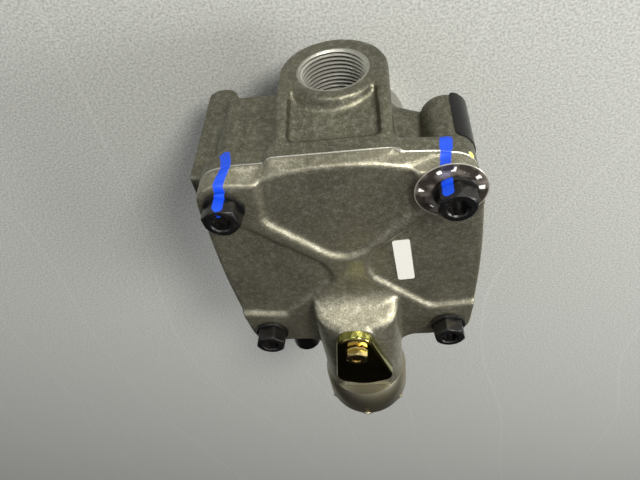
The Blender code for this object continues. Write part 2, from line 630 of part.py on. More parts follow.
def make_cover(material):
    outlines = (plate_outline(True), plate_outline(True, 0.0, top_crown))
    plate = bevel_top(lofted(*outlines, SEAM, FIELD_TOP), FIELD_TOP, EDGE_ROUND, 2)
    cover = add_object("valve_cover", plate, material)
    inset = 0.15 * MM
    ribs = bevel_top(prism(plate_outline(True, inset, top_crown), SEAM + OVER, PAD_TOP), PAD_TOP, EDGE_ROUND, 2)
    rib_plate = add_object("rib_form", ribs)
    for name, outline in field_outlines().items():
        cut(rib_plate, add_object(name + "_field_cutter", prism(outline, SEAM, PAD_TOP + OVER)))
    join(cover, rib_plate, housing_form())

    recess = lathe([(0, SEAM - OVER), (CONTROL_RECESS_R, SEAM - OVER), (CONTROL_RECESS_R, SEAM + CONTROL_RECESS),
                    (0, SEAM + CONTROL_RECESS)])
    cut(cover, add_object("recess_cutter", recess))
    bore = lathe([(0, -CONTROL_END), (CONTROL_R, -CONTROL_END), (CONTROL_R, -SHUTTLE_BORE_END),
                  (SHUTTLE_BORE_R, -SHUTTLE_BORE_END), (SHUTTLE_BORE_R, -SPIGOT_BORE_END),
                  (SPIGOT_BORE_R, -SPIGOT_BORE_END), (SPIGOT_BORE_R, -HOUSING_FACE + OVER), (0, -HOUSING_FACE + OVER)],
                 COARSE)
    cut(cover, add_object("shuttle_bore_cutter", moved(turned_to_y(bore), x=HOUSING_X, z=PAD_TOP)))
    drop = moved(rod(CONTROL_DROP_R, SEAM + OVER, PAD_TOP - OVER, 12), x=HOUSING_X, y=CONTROL_DROP_Y)
    cut(cover, add_object("control_drop_cutter", drop))
    pad_z = PAD_TOP + HOUSING_FLAT
    balance = lathe([(0, PAD_TOP), (BALANCE_DROP_R, PAD_TOP), (BALANCE_DROP_R, pad_z - BALANCE_DEPTH - 1.5 * MM),
                     (BALANCE_R, pad_z - BALANCE_DEPTH), (BALANCE_R, pad_z + OVER), (0, pad_z + OVER)], COARSE)
    cut(cover, add_object("balance_cutter", moved(balance, x=BALANCE_X, y=BALANCE_Y)))
    screw_hole = rod(SHIELD_SCREW_R + RUN_GAP, pad_z - SHIELD_SCREW_REACH - OVER, pad_z + OVER, 16)
    cut(cover, add_object("screw_hole_cutter", moved(screw_hole, x=SHIELD_SCREW_X, y=SHIELD_SCREW_Y)))
    for n, (x, y) in enumerate(bolt_places()):
        hole = moved(rod(BOLT_HOLE_R, SEAM - OVER, PAD_TOP + OVER), x, y)
        cut(cover, add_object("bolt_hole_cutter_%d" % (n + 1), hole))
    return cover


def make_bolts(material, washer_material):
    """Cap screws on washers, the first of them also on the tag."""
    for n, (x, y) in enumerate(bolt_places()):
        lift = TAG_THICK + SEAT_GAP if n == 0 else 0.0
        washer_low = PAD_TOP + SEAT_GAP + lift
        washer = lathe([(BOLT_HOLE_R, washer_low), (WASHER_R, washer_low), (WASHER_R, washer_low + WASHER_THICK),
                        (BOLT_HOLE_R, washer_low + WASHER_THICK)], 32)
        add_object("lock_washer_%d" % (n + 1), washer, washer_material, (x, y, 0))
        head_low = washer_low + WASHER_THICK + SEAT_GAP
        head_top = head_low + BOLT_HEAD
        shank = rod(BOLT_R, SEAM - BOLT_REACH + lift, head_low + OVER)
        bolt = add_object("cover_bolt_%d" % (n + 1), shank, material, (x, y, 0))
        hex_part, cone = chamfered_hex(BOLT_AF, head_low, head_top, 0.3 * MM, 90.0 * n + 12.0)
        head = add_object("head_form_%d" % (n + 1), hex_part, None, (x, y, 0))
        chamfer = add_object("head_cone_%d" % (n + 1), cone, None, (x, y, 0))
        boolean(head, chamfer, "INTERSECT")
        join(bolt, head)
        socket = rod(BOLT_SOCKET_R, head_top - BOLT_SOCKET_DEPTH, head_top + OVER, 12)
        cut(bolt, add_object("socket_cutter_%d" % (n + 1), socket, None, (x, y, 0)))


def make_tag(material):
    low = PAD_TOP + SEAT_GAP
    tag = add_object("identification_tag", rod(TAG_R, low, low + TAG_THICK, 40), material, (TAG_X, TAG_Y, 0))
    hole = moved(rod(BOLT_HOLE_R, low - OVER, low + OVER), BOLT_X, BOLT_Y)
    cut(tag, add_object("tag_hole_cutter", hole))


def make_cover_seal(material):
    inner = SEAL_GROOVE_IN + RUN_GAP
    outer = SEAL_GROOVE_IN + SEAL_GROOVE_WIDTH - RUN_GAP
    low = BODY_TOP - SEAL_GROOVE_DEPTH + SEAT_GAP
    edge = 0.5 * MM
    profile = [(inner + edge, low), (outer - edge, low), (outer, low + edge), (outer, BODY_TOP - edge),
               (outer - edge, BODY_TOP), (inner + edge, BODY_TOP), (inner, BODY_TOP - edge), (inner, low + edge)]
    add_object("cover_seal", lathe(profile, SMALL), material)


def make_piston(material, seal_material):
    """Relay piston with a hollow stem that is the exhaust seat."""
    top = SEAM - PISTON_TOP_GAP
    rim_low = top - PISTON_RIM
    outer = PISTON_BORE_R - RUN_GAP
    inner = outer - PISTON_RIM_WALL
    web_top = top - PISTON_DISH
    web_low = web_top - PISTON_WEB
    stem_low = LIP_LOW - RUN_GAP + LAP
    groove_top = top - PISTON_GROOVE_DROP
    groove_low = groove_top - PISTON_GROOVE_WIDTH
    groove_r = outer - PISTON_GROOVE_DEPTH
    bore_top = stem_low + PISTON_STEM_BORE
    bore_wall = PISTON_STEM_R - PISTON_STEM_BORE_R
    profile = [
        (0, web_top), (inner, web_top), (inner + OVER, top), (outer, top), (outer, groove_top), (groove_r, groove_top),
        (groove_r, groove_low), (outer, groove_low), (outer, rim_low), (groove_r - OVER, rim_low),
        (groove_r - 2 * MM, web_low), (PISTON_STEM_R + bore_wall, web_low), (PISTON_STEM_R, web_low - 2 * MM),
        (PISTON_STEM_R, stem_low), (PISTON_STEM_BORE_R, stem_low), (PISTON_STEM_BORE_R, bore_top), (0, bore_top)]
    piston = add_object("relay_piston", lathe(profile), material)
    for n in range(PISTON_RIBS):
        rib = prism(rounded_box(PISTON_STEM_R - OVER, groove_r, -PISTON_RIB_WIDTH / 2, PISTON_RIB_WIDTH / 2,
                                0.6 * MM, 1), rim_low + OVER, web_low + OVER)
        turn = Matrix.Rotation(math.tau * n / PISTON_RIBS, 3, "Z")
        bmesh.ops.rotate(rib, verts=rib.verts, cent=(0, 0, 0), matrix=turn)
        join(piston, add_object("piston_rib_%d" % (n + 1), rib))
    tube_r = (PISTON_GROOVE_DEPTH - RUN_GAP + RUN_GAP) / 2 - SEAT_GAP / 2
    centre = groove_r + SEAT_GAP + tube_r
    middle = (groove_top + groove_low) / 2
    add_object("piston_seal", lathe(ring_profile(centre, tube_r, middle), SMALL), seal_material)


def make_valve(sleeve_material, rubber):
    """Sleeve with a disc, and the rubber face that meets the inlet lip."""
    face_top = LIP_LOW - RUN_GAP
    face_low = face_top - FACE_THICK
    disc_top = face_low - SEAT_GAP
    disc_low = disc_top - SLEEVE_DISC
    bore_r = SLEEVE_R + RUN_GAP
    face = [(bore_r, face_low), (FACE_R, face_low), (FACE_R, face_top - 0.6 * MM), (FACE_R - 0.6 * MM, face_top),
            (bore_r, face_top)]
    add_object("valve_face", lathe(face, SMALL), rubber)
    sleeve = [(SLEEVE_BORE_R, SLEEVE_LOW), (SLEEVE_R, SLEEVE_LOW), (SLEEVE_R, disc_low), (SLEEVE_DISC_R, disc_low),
              (SLEEVE_DISC_R, disc_top), (SLEEVE_R, disc_top), (SLEEVE_R, face_top - OVER),
              (SLEEVE_BORE_R, face_top - OVER)]
    add_object("inlet_exhaust_valve", lathe(sleeve, SMALL), sleeve_material)
    return disc_low


def make_spring(disc_low, material):
    """Closed coil spring between the retainer and the valve disc."""
    low = RETAINER_TOWER + RUN_GAP + SPRING_WIRE_R
    high = disc_low - RUN_GAP - SPRING_WIRE_R
    steps = 14
    count = int(SPRING_TURNS * steps)
    dead = 0.6
    bm = bmesh.new()
    rings = []
    sides = 6
    for i in range(count + 1):
        turn = i / steps
        share = min(max((turn - dead) / (SPRING_TURNS - 2 * dead), 0.0), 1.0)
        angle = math.tau * turn
        height = low + (high - low) * share
        ring = []
        for k in range(sides):
            a = math.tau * k / sides
            radius = SPRING_R + SPRING_WIRE_R * math.cos(a)
            ring.append(bm.verts.new((radius * math.cos(angle), radius * math.sin(angle),
                                      height + SPRING_WIRE_R * math.sin(a))))
        rings.append(ring)
    for first, second in zip(rings, rings[1:]):
        for k in range(sides):
            bm.faces.new((first[k], first[(k + 1) % sides], second[(k + 1) % sides], second[k]))
    bm.faces.new(rings[0])
    bm.faces.new(list(reversed(rings[-1])))
    add_object("valve_spring", bm, material)


def make_retainer(material, seal_material):
    outer = RETAINER_BORE_R - RUN_GAP
    shoulder = RETAINER_SHOULDER - SEAT_GAP
    guide = SLEEVE_R + RUN_GAP
    outer_low = OUTER_SEAL_Z - OUTER_SEAL_WIDTH / 2
    outer_high = OUTER_SEAL_Z + OUTER_SEAL_WIDTH / 2
    inner_low = INNER_SEAL_Z - OUTER_SEAL_WIDTH / 2
    inner_high = INNER_SEAL_Z + OUTER_SEAL_WIDTH / 2
    profile = [
        (CHAMBER_R, RETAINER_LOW), (outer, RETAINER_LOW), (outer, outer_low), (outer - OUTER_SEAL_DEPTH, outer_low),
        (outer - OUTER_SEAL_DEPTH, outer_high), (outer, outer_high), (outer, shoulder),
        (RETAINER_TOWER_R, shoulder), (RETAINER_TOWER_R, RETAINER_TOWER), (guide, RETAINER_TOWER),
        (guide, inner_high), (guide + OUTER_SEAL_DEPTH, inner_high), (guide + OUTER_SEAL_DEPTH, inner_low),
        (guide, inner_low), (guide, CHAMBER_TOP), (CHAMBER_R, CHAMBER_TOP)]
    add_object("valve_retainer", lathe(profile, SMALL), material)
    tube_r = (OUTER_SEAL_DEPTH - SEAT_GAP) / 2
    outer_centre = RETAINER_BORE_R - SEAT_GAP - tube_r
    inner_centre = guide + tube_r
    add_object("retainer_seal", lathe(ring_profile(outer_centre, tube_r, OUTER_SEAL_Z), SMALL), seal_material)
    add_object("sleeve_seal", lathe(ring_profile(inner_centre, tube_r, INNER_SEAL_Z), SMALL), seal_material)


def make_exhaust(cover_material, ring_material, rubber, screw_material):
    """Exhaust cover with the flap, its washer and screw, and the snap ring."""
    ring_low = RING_LOW + SEAT_GAP
    ring_high = ring_low + RING_THICK
    outer = RING_GROOVE_R - RUN_GAP
    inner = outer - RING_WIDTH
    start = 90 + RING_OPENING_DEG / 2
    end = start + 360 - RING_OPENING_DEG
    points = arc((0, 0), outer, start, end, 40) + arc((0, 0), inner, end, start, 40)
    add_object("exhaust_snap_ring", prism(points, ring_low, ring_high), ring_material)

    cover_low = ring_high + SEAT_GAP
    cover_high = cover_low + EXHAUST_COVER_THICK
    outer_r = RETAINER_BORE_R - RUN_GAP
    disc = lathe([(0, cover_low), (outer_r, cover_low), (outer_r, cover_high), (0, cover_high)], SMALL)
    exhaust_cover = add_object("exhaust_cover", disc, cover_material)
    for n in range(EXHAUST_HOLES):
        angle = math.tau * n / EXHAUST_HOLES
        hole = moved(rod(EXHAUST_HOLE_R, 0, RETAINER_LOW + OVER, 12), EXHAUST_HOLE_CIRCLE * math.cos(angle),
                     EXHAUST_HOLE_CIRCLE * math.sin(angle))
        cut(exhaust_cover, add_object("exhaust_hole_cutter_%d" % (n + 1), hole))
    centre_hole = rod(DIAPHRAGM_SCREW_R + RUN_GAP, 0, RETAINER_LOW + OVER, 16)
    cut(exhaust_cover, add_object("centre_hole_cutter", centre_hole))

    flap_high = cover_low - SEAT_GAP
    flap_low = flap_high - DIAPHRAGM_THICK
    hole_r = DIAPHRAGM_SCREW_R + RUN_GAP
    flap = [(hole_r, flap_low), (DIAPHRAGM_R, flap_low), (DIAPHRAGM_R, flap_high), (hole_r, flap_high)]
    add_object("exhaust_diaphragm", lathe(flap, SMALL), rubber)
    washer_high = flap_low - SEAT_GAP
    washer_low = washer_high - DIAPHRAGM_WASHER
    washer = [(hole_r, washer_low), (DIAPHRAGM_WASHER_R, washer_low), (DIAPHRAGM_WASHER_R, washer_high),
              (hole_r, washer_high)]
    add_object("diaphragm_washer", lathe(washer, COARSE), screw_material)
    head_high = washer_low - SEAT_GAP
    head_low = head_high - DIAPHRAGM_SCREW_HEAD
    screw = [(0, head_low), (DIAPHRAGM_SCREW_HEAD_R - 0.6 * MM, head_low),
             (DIAPHRAGM_SCREW_HEAD_R, head_low + 0.6 * MM), (DIAPHRAGM_SCREW_HEAD_R, head_high),
             (DIAPHRAGM_SCREW_R, head_high), (DIAPHRAGM_SCREW_R, cover_high + DIAPHRAGM_SCREW_TIP),
             (0, cover_high + DIAPHRAGM_SCREW_TIP)]
    add_object("diaphragm_screw", lathe(screw, COARSE), screw_material)


def make_fitting(material, seal_material):
    """Zinc plated fitting: spigot in the housing, round collar and hexagon."""
    start = -HOUSING_FACE + SEAT_GAP
    collar_end = start + FITTING_ROUND
    end = collar_end + FITTING_HEX
    spigot = -SPIGOT_BORE_END + SEAT_GAP
    spigot_r = SPIGOT_BORE_R - RUN_GAP
    groove_mid = start - FITTING_SEAL_Y
    low = groove_mid - FITTING_SEAL_WIDTH / 2
    high = groove_mid + FITTING_SEAL_WIDTH / 2
    groove_r = spigot_r - FITTING_SEAL_DEPTH
    profile = [(0, spigot), (spigot_r, spigot), (spigot_r, low), (groove_r, low), (groove_r, high), (spigot_r, high),
               (spigot_r, start), (FITTING_ROUND_R - EDGE, start), (FITTING_ROUND_R, start + EDGE),
               (FITTING_ROUND_R, collar_end + OVER), (0, collar_end + OVER)]
    place = (HOUSING_X, 0, PAD_TOP)
    fitting = add_object("service_fitting", turned_to_y(lathe(profile)), material, place)
    hex_part, cone = chamfered_hex(FITTING_AF, collar_end, end, 0.4 * MM, 90.0 + FITTING_TURN_DEG)
    head = add_object("fitting_hex_form", turned_to_y(hex_part), None, place)
    boolean(head, add_object("fitting_hex_cone", turned_to_y(cone), None, place), "INTERSECT")
    join(fitting, head)
    bore = lathe([(0, spigot - OVER), (FITTING_BORE_R, spigot - OVER), (FITTING_BORE_R, end - FITTING_MOUTH_DEPTH - 2 * MM),
                  (FITTING_MOUTH_R, end - FITTING_MOUTH_DEPTH), (FITTING_MOUTH_R, end + OVER), (0, end + OVER)], 32)
    cut(fitting, add_object("fitting_bore_cutter", turned_to_y(bore), None, place))
    tube_r = (FITTING_SEAL_DEPTH - SEAT_GAP) / 2
    centre = SPIGOT_BORE_R - SEAT_GAP - tube_r
    seal = turned_to_y(lathe(ring_profile(centre, tube_r, groove_mid), SMALL))
    add_object("fitting_seal", seal, seal_material, place)


def make_shuttle(material):
    start = SPIGOT_BORE_END + SEAT_GAP
    outer = SHUTTLE_BORE_R - RUN_GAP
    land = 1.6 * MM
    profile = [(0, 0), (outer - 0.4 * MM, 0), (outer, 0.4 * MM), (outer, land), (SHUTTLE_WAIST_R, land + 0.6 * MM),
               (SHUTTLE_WAIST_R, SHUTTLE_LENGTH - land - 0.6 * MM), (outer, SHUTTLE_LENGTH - land),
               (outer, SHUTTLE_LENGTH - 0.4 * MM), (outer - 0.4 * MM, SHUTTLE_LENGTH), (0, SHUTTLE_LENGTH)]
    shuttle = lathe(profile, COARSE)
    bmesh.ops.transform(shuttle, matrix=Matrix.Rotation(-math.pi / 2, 4, "X"), verts=shuttle.verts)
    add_object("check_shuttle", shuttle, material, (HOUSING_X, start, PAD_TOP))


def pick_outline(inset=0.0):
    """Rounded triangle of the shield, from its three corner arcs and a bowed lower edge."""
    tip = SHIELD_TIP
    right = SHIELD_RIGHT
    left = SHIELD_LEFT
    bow = SHIELD_BOTTOM
    points = arc((tip[0], tip[1]), tip[2] - inset, 10, 170, 8)
    points += arc((left[0], left[1]), left[2] - inset, 180, 245, 4)
    points += arc((bow[0], bow[1]), bow[2] - inset, 258, 286, 3)
    points += arc((right[0], right[1]), right[2] - inset, 300, 370, 4)
    return points


def make_shield(material):
    """Shallow pressed cup over the balance port, with the screw that holds it."""
    low = PAD_TOP + HOUSING_FLAT + SEAT_GAP
    high = low + SHIELD_HEIGHT
    cup = bevel_top(prism(pick_outline(), low, high), high, EDGE, 2)
    shield = add_object("balance_port_shield", cup, material)
    hollow = prism(pick_outline(SHIELD_WALL), low - OVER, high - SHIELD_WALL)
    hole = moved(rod(SHIELD_SCREW_R + RUN_GAP, low - 2 * MM, high + OVER, 16), SHIELD_SCREW_X, SHIELD_SCREW_Y)
    cut(shield, add_object("shield_hollow_cutter", hollow), add_object("shield_hole_cutter", hole))

    head_low = high + SEAT_GAP
    head_top = head_low + SHIELD_SCREW_HEAD
    place = (SHIELD_SCREW_X, SHIELD_SCREW_Y, 0)
    shank = rod(SHIELD_SCREW_R, PAD_TOP + HOUSING_FLAT - SHIELD_SCREW_REACH, head_low + OVER, 16)
    screw = add_object("shield_screw", shank, material, place)
    hex_part, cone = chamfered_hex(SHIELD_SCREW_AF, head_low, head_top, 0.2 * MM, 20.0)
    head = add_object("shield_head_form", hex_part, None, place)
    boolean(head, add_object("shield_head_cone", cone, None, place), "INTERSECT")
    join(screw, head)


def make_plug(material):
    face = -PLUG_BOSS_FACE + SEAT_GAP
    edge = EDGE
    profile = [(0, face - PLUG_SHANK), (PLUG_SHANK_R, face - PLUG_SHANK), (PLUG_SHANK_R, face), (PLUG_HEAD_R, face),
               (PLUG_HEAD_R, face + PLUG_HEAD - edge), (PLUG_HEAD_R - edge, face + PLUG_HEAD), (0, face + PLUG_HEAD)]
    add_object("port_plug", turned_to_y(lathe(profile, 32)), material, (PLUG_X, 0, PLUG_Z))


def make_labels(paper, film):
    half_x = LABEL_WIDTH / 2
    half_y = LABEL_LENGTH / 2
    low = FIELD_TOP + SEAT_GAP
    label = prism(rounded_box(-half_x, half_x, -half_y, half_y, MM, 3), low, low + LABEL_THICK)
    obj = add_object("cover_label", label, paper, (LABEL_X, LABEL_Y, 0))
    obj.rotation_euler = (0, 0, math.radians(LABEL_TURN_DEG))
    inner = COLUMN_R + SEAT_GAP
    outer = inner + LABEL_THICK
    band = arc((0, 0), outer, SIDE_LABEL_START_DEG, SIDE_LABEL_END_DEG, 14)
    band += arc((0, 0), inner, SIDE_LABEL_END_DEG, SIDE_LABEL_START_DEG, 14)
    strip = prism(band, COLUMN_LOW + SIDE_LABEL_EDGE, FLANGE_LOW - SIDE_LABEL_EDGE)
    add_object("side_label", strip, film, (BOLT_X, BOLT_Y, 0))


clear_scene()
main_axis = bpy.data.objects.new("main_axis", None)
bpy.context.scene.collection.objects.link(main_axis)
main_axis.location = (MAIN_X, MAIN_Y, 0)

cast_aluminium = make_material("cast_aluminium", (0.25, 0.235, 0.205), 0.45, 0.9)
black_steel = make_material("black_steel", (0.012, 0.012, 0.013), 0.4, 0.6)
yellow_zinc = make_material("yellow_zinc", (0.62, 0.52, 0.24), 0.2, 1.0)
machined_aluminium = make_material("machined_aluminium", (0.6, 0.6, 0.58), 0.3, 1.0)
spring_steel = make_material("spring_steel", (0.35, 0.35, 0.36), 0.3, 1.0)
nitrile_rubber = make_material("nitrile_rubber", (0.015, 0.015, 0.015), 0.7, 0.0)
moulded_nylon = make_material("moulded_nylon", (0.03, 0.03, 0.03), 0.5, 0.0)
brass = make_material("brass", (0.6, 0.42, 0.15), 0.3, 1.0)
tag_foil = make_material("tag_foil", (0.2, 0.18, 0.15), 0.2, 1.0)
white_paper = make_material("white_paper", (0.8, 0.8, 0.78), 0.6, 0.0)
black_film = make_material("black_film", (0.01, 0.01, 0.011), 0.25, 0.0)

make_body(cast_aluminium)
make_cover(cast_aluminium)
make_bolts(black_steel, black_steel)
make_tag(tag_foil)
make_cover_seal(nitrile_rubber)
make_piston(machined_aluminium, nitrile_rubber)
valve_disc_low = make_valve(brass, nitrile_rubber)
make_spring(valve_disc_low, spring_steel)
make_retainer(moulded_nylon, nitrile_rubber)
make_exhaust(moulded_nylon, spring_steel, nitrile_rubber, yellow_zinc)
make_fitting(yellow_zinc, nitrile_rubber)
make_shuttle(moulded_nylon)
make_shield(yellow_zinc)
make_plug(black_steel)
make_labels(white_paper, black_film)
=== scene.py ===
import functools
import math
import bpy
import bmesh
from mathutils import Matrix, Vector


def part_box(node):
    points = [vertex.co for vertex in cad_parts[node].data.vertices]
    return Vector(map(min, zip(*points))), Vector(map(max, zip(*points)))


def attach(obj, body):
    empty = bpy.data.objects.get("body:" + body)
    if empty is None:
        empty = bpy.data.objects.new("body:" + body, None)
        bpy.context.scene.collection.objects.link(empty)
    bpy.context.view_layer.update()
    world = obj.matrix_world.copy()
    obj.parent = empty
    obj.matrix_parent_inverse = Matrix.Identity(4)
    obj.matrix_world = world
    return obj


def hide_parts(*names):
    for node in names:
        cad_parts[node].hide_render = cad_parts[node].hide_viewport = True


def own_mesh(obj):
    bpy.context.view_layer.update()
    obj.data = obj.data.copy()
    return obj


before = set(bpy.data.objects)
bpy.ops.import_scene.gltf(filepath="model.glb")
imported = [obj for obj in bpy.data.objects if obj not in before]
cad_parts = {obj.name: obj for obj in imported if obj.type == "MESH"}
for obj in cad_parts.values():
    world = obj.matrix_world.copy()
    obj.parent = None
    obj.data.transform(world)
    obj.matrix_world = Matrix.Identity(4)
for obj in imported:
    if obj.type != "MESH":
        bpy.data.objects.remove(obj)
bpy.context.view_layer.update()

# Everything below is drawn in millimetres about the piston axis, and moved to the frame when it is finished.
mm = 0.001
pistonAxis = Vector((2.4, 18.625, 0.0))
toFrame = Matrix.Translation(pistonAxis * mm) @ Matrix.Scale(mm, 4)
print("frame loaded,", len(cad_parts), "nodes")


def arc(centre, radius, start, end, steps):
    turns = [math.radians(start + (end - start) * i / steps) for i in range(steps + 1)]
    return [(centre[0] + radius * math.cos(turn), centre[1] + radius * math.sin(turn)) for turn in turns]


def roundedBox(left, right, low, high, radius, steps=6):
    points = arc((right - radius, low + radius), radius, -90, 0, steps)
    points += arc((right - radius, high - radius), radius, 0, 90, steps)
    points += arc((left + radius, high - radius), radius, 90, 180, steps)
    return points + arc((left + radius, low + radius), radius, 180, 270, steps)


def rectangle(left, right, low, high):
    return [(left, low), (right, low), (right, high), (left, high)]


def widened(outline, by):
    # An anticlockwise outline moved outwards, corner by corner.
    points = []
    for before, here, after in zip(outline[-1:] + outline[:-1], outline, outline[1:] + outline[:1]):
        first = (Vector(here) - Vector(before)).normalized()
        second = (Vector(after) - Vector(here)).normalized()
        out = Vector((first.y + second.y, -first.x - second.x)).normalized()
        reach = by / max(out.dot((first.y, -first.x)), 0.6)
        points.append((here[0] + out.x * reach, here[1] + out.y * reach))
    return points


def outward(bm):
    bmesh.ops.recalc_face_normals(bm, faces=bm.faces)
    return bm


def split(bm, point, normal, **options):
    bmesh.ops.bisect_plane(bm, geom=bm.verts[:] + bm.edges[:] + bm.faces[:], plane_co=point, plane_no=normal,
                           dist=1e-5, **options)


def lofted(levels):
    # A closed form from the first outline up through the others, each given with its height.
    outline, height = levels[0]
    bm = bmesh.new()
    face = bm.faces.new([bm.verts.new((x, y, height)) for x, y in outline])
    for n, (outline, height) in enumerate(levels[1:]):
        made = bmesh.ops.extrude_face_region(bm, geom=[face])["geom"]
        if n:
            bmesh.ops.delete(bm, geom=[face], context="FACES_ONLY")
        face = [item for item in made if isinstance(item, bmesh.types.BMFace)][0]
        for vert, (x, y) in zip(face.verts, outline):
            vert.co = (x, y, height)
    return outward(bm)


def extruded(outline, low, high):
    return lofted([(outline, low), (outline, high)])


def turned(profile, steps=96):
    bm = bmesh.new()  # profile is radius and height, closed on itself
    verts = [bm.verts.new((r, 0, z)) for r, z in profile]
    edges = [bm.edges.new((a, b)) for a, b in zip(verts, verts[1:] + verts[:1]) if a.co.x > 0 or b.co.x > 0]
    bmesh.ops.spin(bm, geom=edges, cent=(0, 0, 0), axis=(0, 0, 1), angle=math.tau, steps=steps, use_merge=True)
    bmesh.ops.remove_doubles(bm, verts=bm.verts, dist=1e-4)
    return outward(bm)


def spindle(points, steps=96):
    # Filled to its axis: the points are its outside only.
    return turned([(0, points[0][1]), *points, (0, points[-1][1])], steps)


def rod(radius, low, high, steps=64):
    return spindle([(radius, low), (radius, high)], steps)


def placed(bm, x=0.0, y=0.0, z=0.0, about=None, degrees=0.0):
    if about:
        bmesh.ops.rotate(bm, verts=bm.verts, cent=(0, 0, 0), matrix=Matrix.Rotation(math.radians(degrees), 3, about))
    bmesh.ops.translate(bm, verts=bm.verts, vec=(x, y, z))
    return bm


def laidToFront(bm, **where):
    return placed(placed(bm, about="X", degrees=90), **where)  # +Z now points along -Y


def gathered(*parts):
    whole = bmesh.new()
    for bm in parts:
        mesh = bpy.data.meshes.new("gathered")
        bm.to_mesh(mesh)
        bm.free()
        whole.from_mesh(mesh)
        bpy.data.meshes.remove(mesh)
    return whole


def newObject(name, data):
    obj = bpy.data.objects.new(name, data)
    bpy.context.scene.collection.objects.link(obj)
    return obj


def standIn(bm, name="form"):
    mesh = bpy.data.meshes.new(name)
    bm.to_mesh(mesh)
    bm.free()
    return newObject(name, mesh)


def applied(obj):
    bpy.context.view_layer.update()
    mesh = bpy.data.meshes.new_from_object(obj.evaluated_get(bpy.context.evaluated_depsgraph_get()))
    bm = bmesh.new()
    bm.from_mesh(mesh)
    old = obj.data
    bpy.data.objects.remove(obj, do_unlink=True)
    bpy.data.meshes.remove(old)
    bpy.data.meshes.remove(mesh)
    return bm


def carved(bm, *tools, operation="DIFFERENCE"):
    obj = standIn(bm)
    toolObjects = [standIn(tool, "tool") for tool in tools]
    for tool in toolObjects:
        step = obj.modifiers.new("carve", "BOOLEAN")
        step.operation = operation
        step.solver = "MANIFOLD"
        step.object = tool
    result = applied(obj)
    for tool in toolObjects:
        bpy.data.objects.remove(tool, do_unlink=True)
    return result


def castSkin(bm, voxel, rounds):
    # One skin over the joined forms, then rounded as a sand or die casting is.
    obj = standIn(bm)
    step = obj.modifiers.new("skin", "REMESH")
    step.mode = "VOXEL"
    step.voxel_size = voxel
    skin = applied(obj)
    for _ in range(rounds):
        bmesh.ops.smooth_vert(skin, verts=skin.verts, factor=0.5, use_axis_x=True, use_axis_y=True, use_axis_z=True)
    return skin


def rounded(bm, edges, width, segments):
    bmesh.ops.bevel(bm, geom=edges, offset=width, segments=segments, profile=0.5,
                    affect="EDGES", material=-1, clamp_overlap=True)
    return bm


def softened(bm, width, segments=2, sharper=35.0):
    limit = math.radians(sharper)
    return rounded(bm, [e for e in bm.edges if len(e.link_faces) == 2 and e.calc_face_angle() > limit], width, segments)


def roundedRim(bm, height, width, segments=5):
    return rounded(bm, [e for e in bm.edges if all(abs(v.co.z - height) < 1e-4 for v in e.verts)], width, segments)


def trimmed(bm, point, normal):
    split(bm, point, normal, clear_outer=True)
    bmesh.ops.contextual_create(bm, geom=[e for e in bm.edges if e.is_boundary])
    return outward(bm)


def threadTool(rootR, crestR, pitch, low, high, steps=48):
    # A screw shaped plug: one pitch of the flank swept round and along, then trimmed flat at both ends.
    bm = bmesh.new()
    flank = [(crestR, 0.0), (crestR, 0.12), (rootR, 0.46), (rootR, 0.58), (crestR, 0.92), (crestR, 1.0)]
    turns = math.ceil((high - low) / pitch) + 2
    verts = [bm.verts.new((r, 0, low - pitch + share * pitch)) for r, share in flank]
    edges = [bm.edges.new(pair) for pair in zip(verts, verts[1:])]
    bmesh.ops.spin(bm, geom=edges, cent=(0, 0, 0), axis=(0, 0, 1), angle=math.tau * turns, steps=steps * turns,
                   dvec=(0, 0, pitch / steps))
    bmesh.ops.remove_doubles(bm, verts=bm.verts, dist=1e-3)
    for height, direction in ((low, -1), (high, 1)):
        split(bm, (0, 0, height), (0, 0, direction), clear_outer=True)
        rim = [e for e in bm.edges if e.is_boundary and all(abs(v.co.z - height) < 1e-3 for v in e.verts)]
        bmesh.ops.contextual_create(bm, geom=rim)
    return outward(bm)


def hexHead(acrossFlats, low, high, chamfer, degrees, edge=0.18):
    cornerR = acrossFlats / math.sqrt(3)
    bm = bmesh.new()
    bmesh.ops.create_circle(bm, cap_ends=True, segments=6, radius=cornerR)
    made = bmesh.ops.extrude_face_region(bm, geom=bm.faces[:])["geom"]
    bmesh.ops.translate(bm, verts=[v for v in made if isinstance(v, bmesh.types.BMVert)], vec=(0, 0, high - low))
    placed(outward(bm), z=low, about="Z", degrees=degrees - 90)  # a corner stands at this angle from +X
    topR = acrossFlats / 2 * 0.95
    drop = (cornerR - topR) * math.tan(math.radians(30)) + chamfer
    # The cone falls at 30 degrees, and goes on for 1 mm beyond the corners.
    cone = spindle([(cornerR + 1, low - 1), (cornerR + 1, high - drop - 0.579), (topR, high)], 72)
    return softened(carved(bm, cone, operation="INTERSECT"), edge, 2, 20.0)


def finished(name, bm, material, node):
    bmesh.ops.transform(bm, matrix=toFrame, verts=bm.verts)
    obj = standIn(bm, name)
    obj.data.materials.append(material)
    obj.data.shade_smooth()
    obj.data.set_sharp_from_angle(angle=math.radians(32.0))
    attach(obj, "housing")
    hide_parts(node)
    return obj


def linear(hexColour):
    channels = [int(hexColour[i:i + 2], 16) / 255 for i in (1, 3, 5)]
    return tuple(c / 12.92 if c <= 0.04045 else ((c + 0.055) / 1.055) ** 2.4 for c in channels) + (1.0,)


def feed(tree, socket, value):
    if isinstance(value, bpy.types.NodeSocket):
        tree.links.new(value, socket)
    else:
        socket.default_value = value


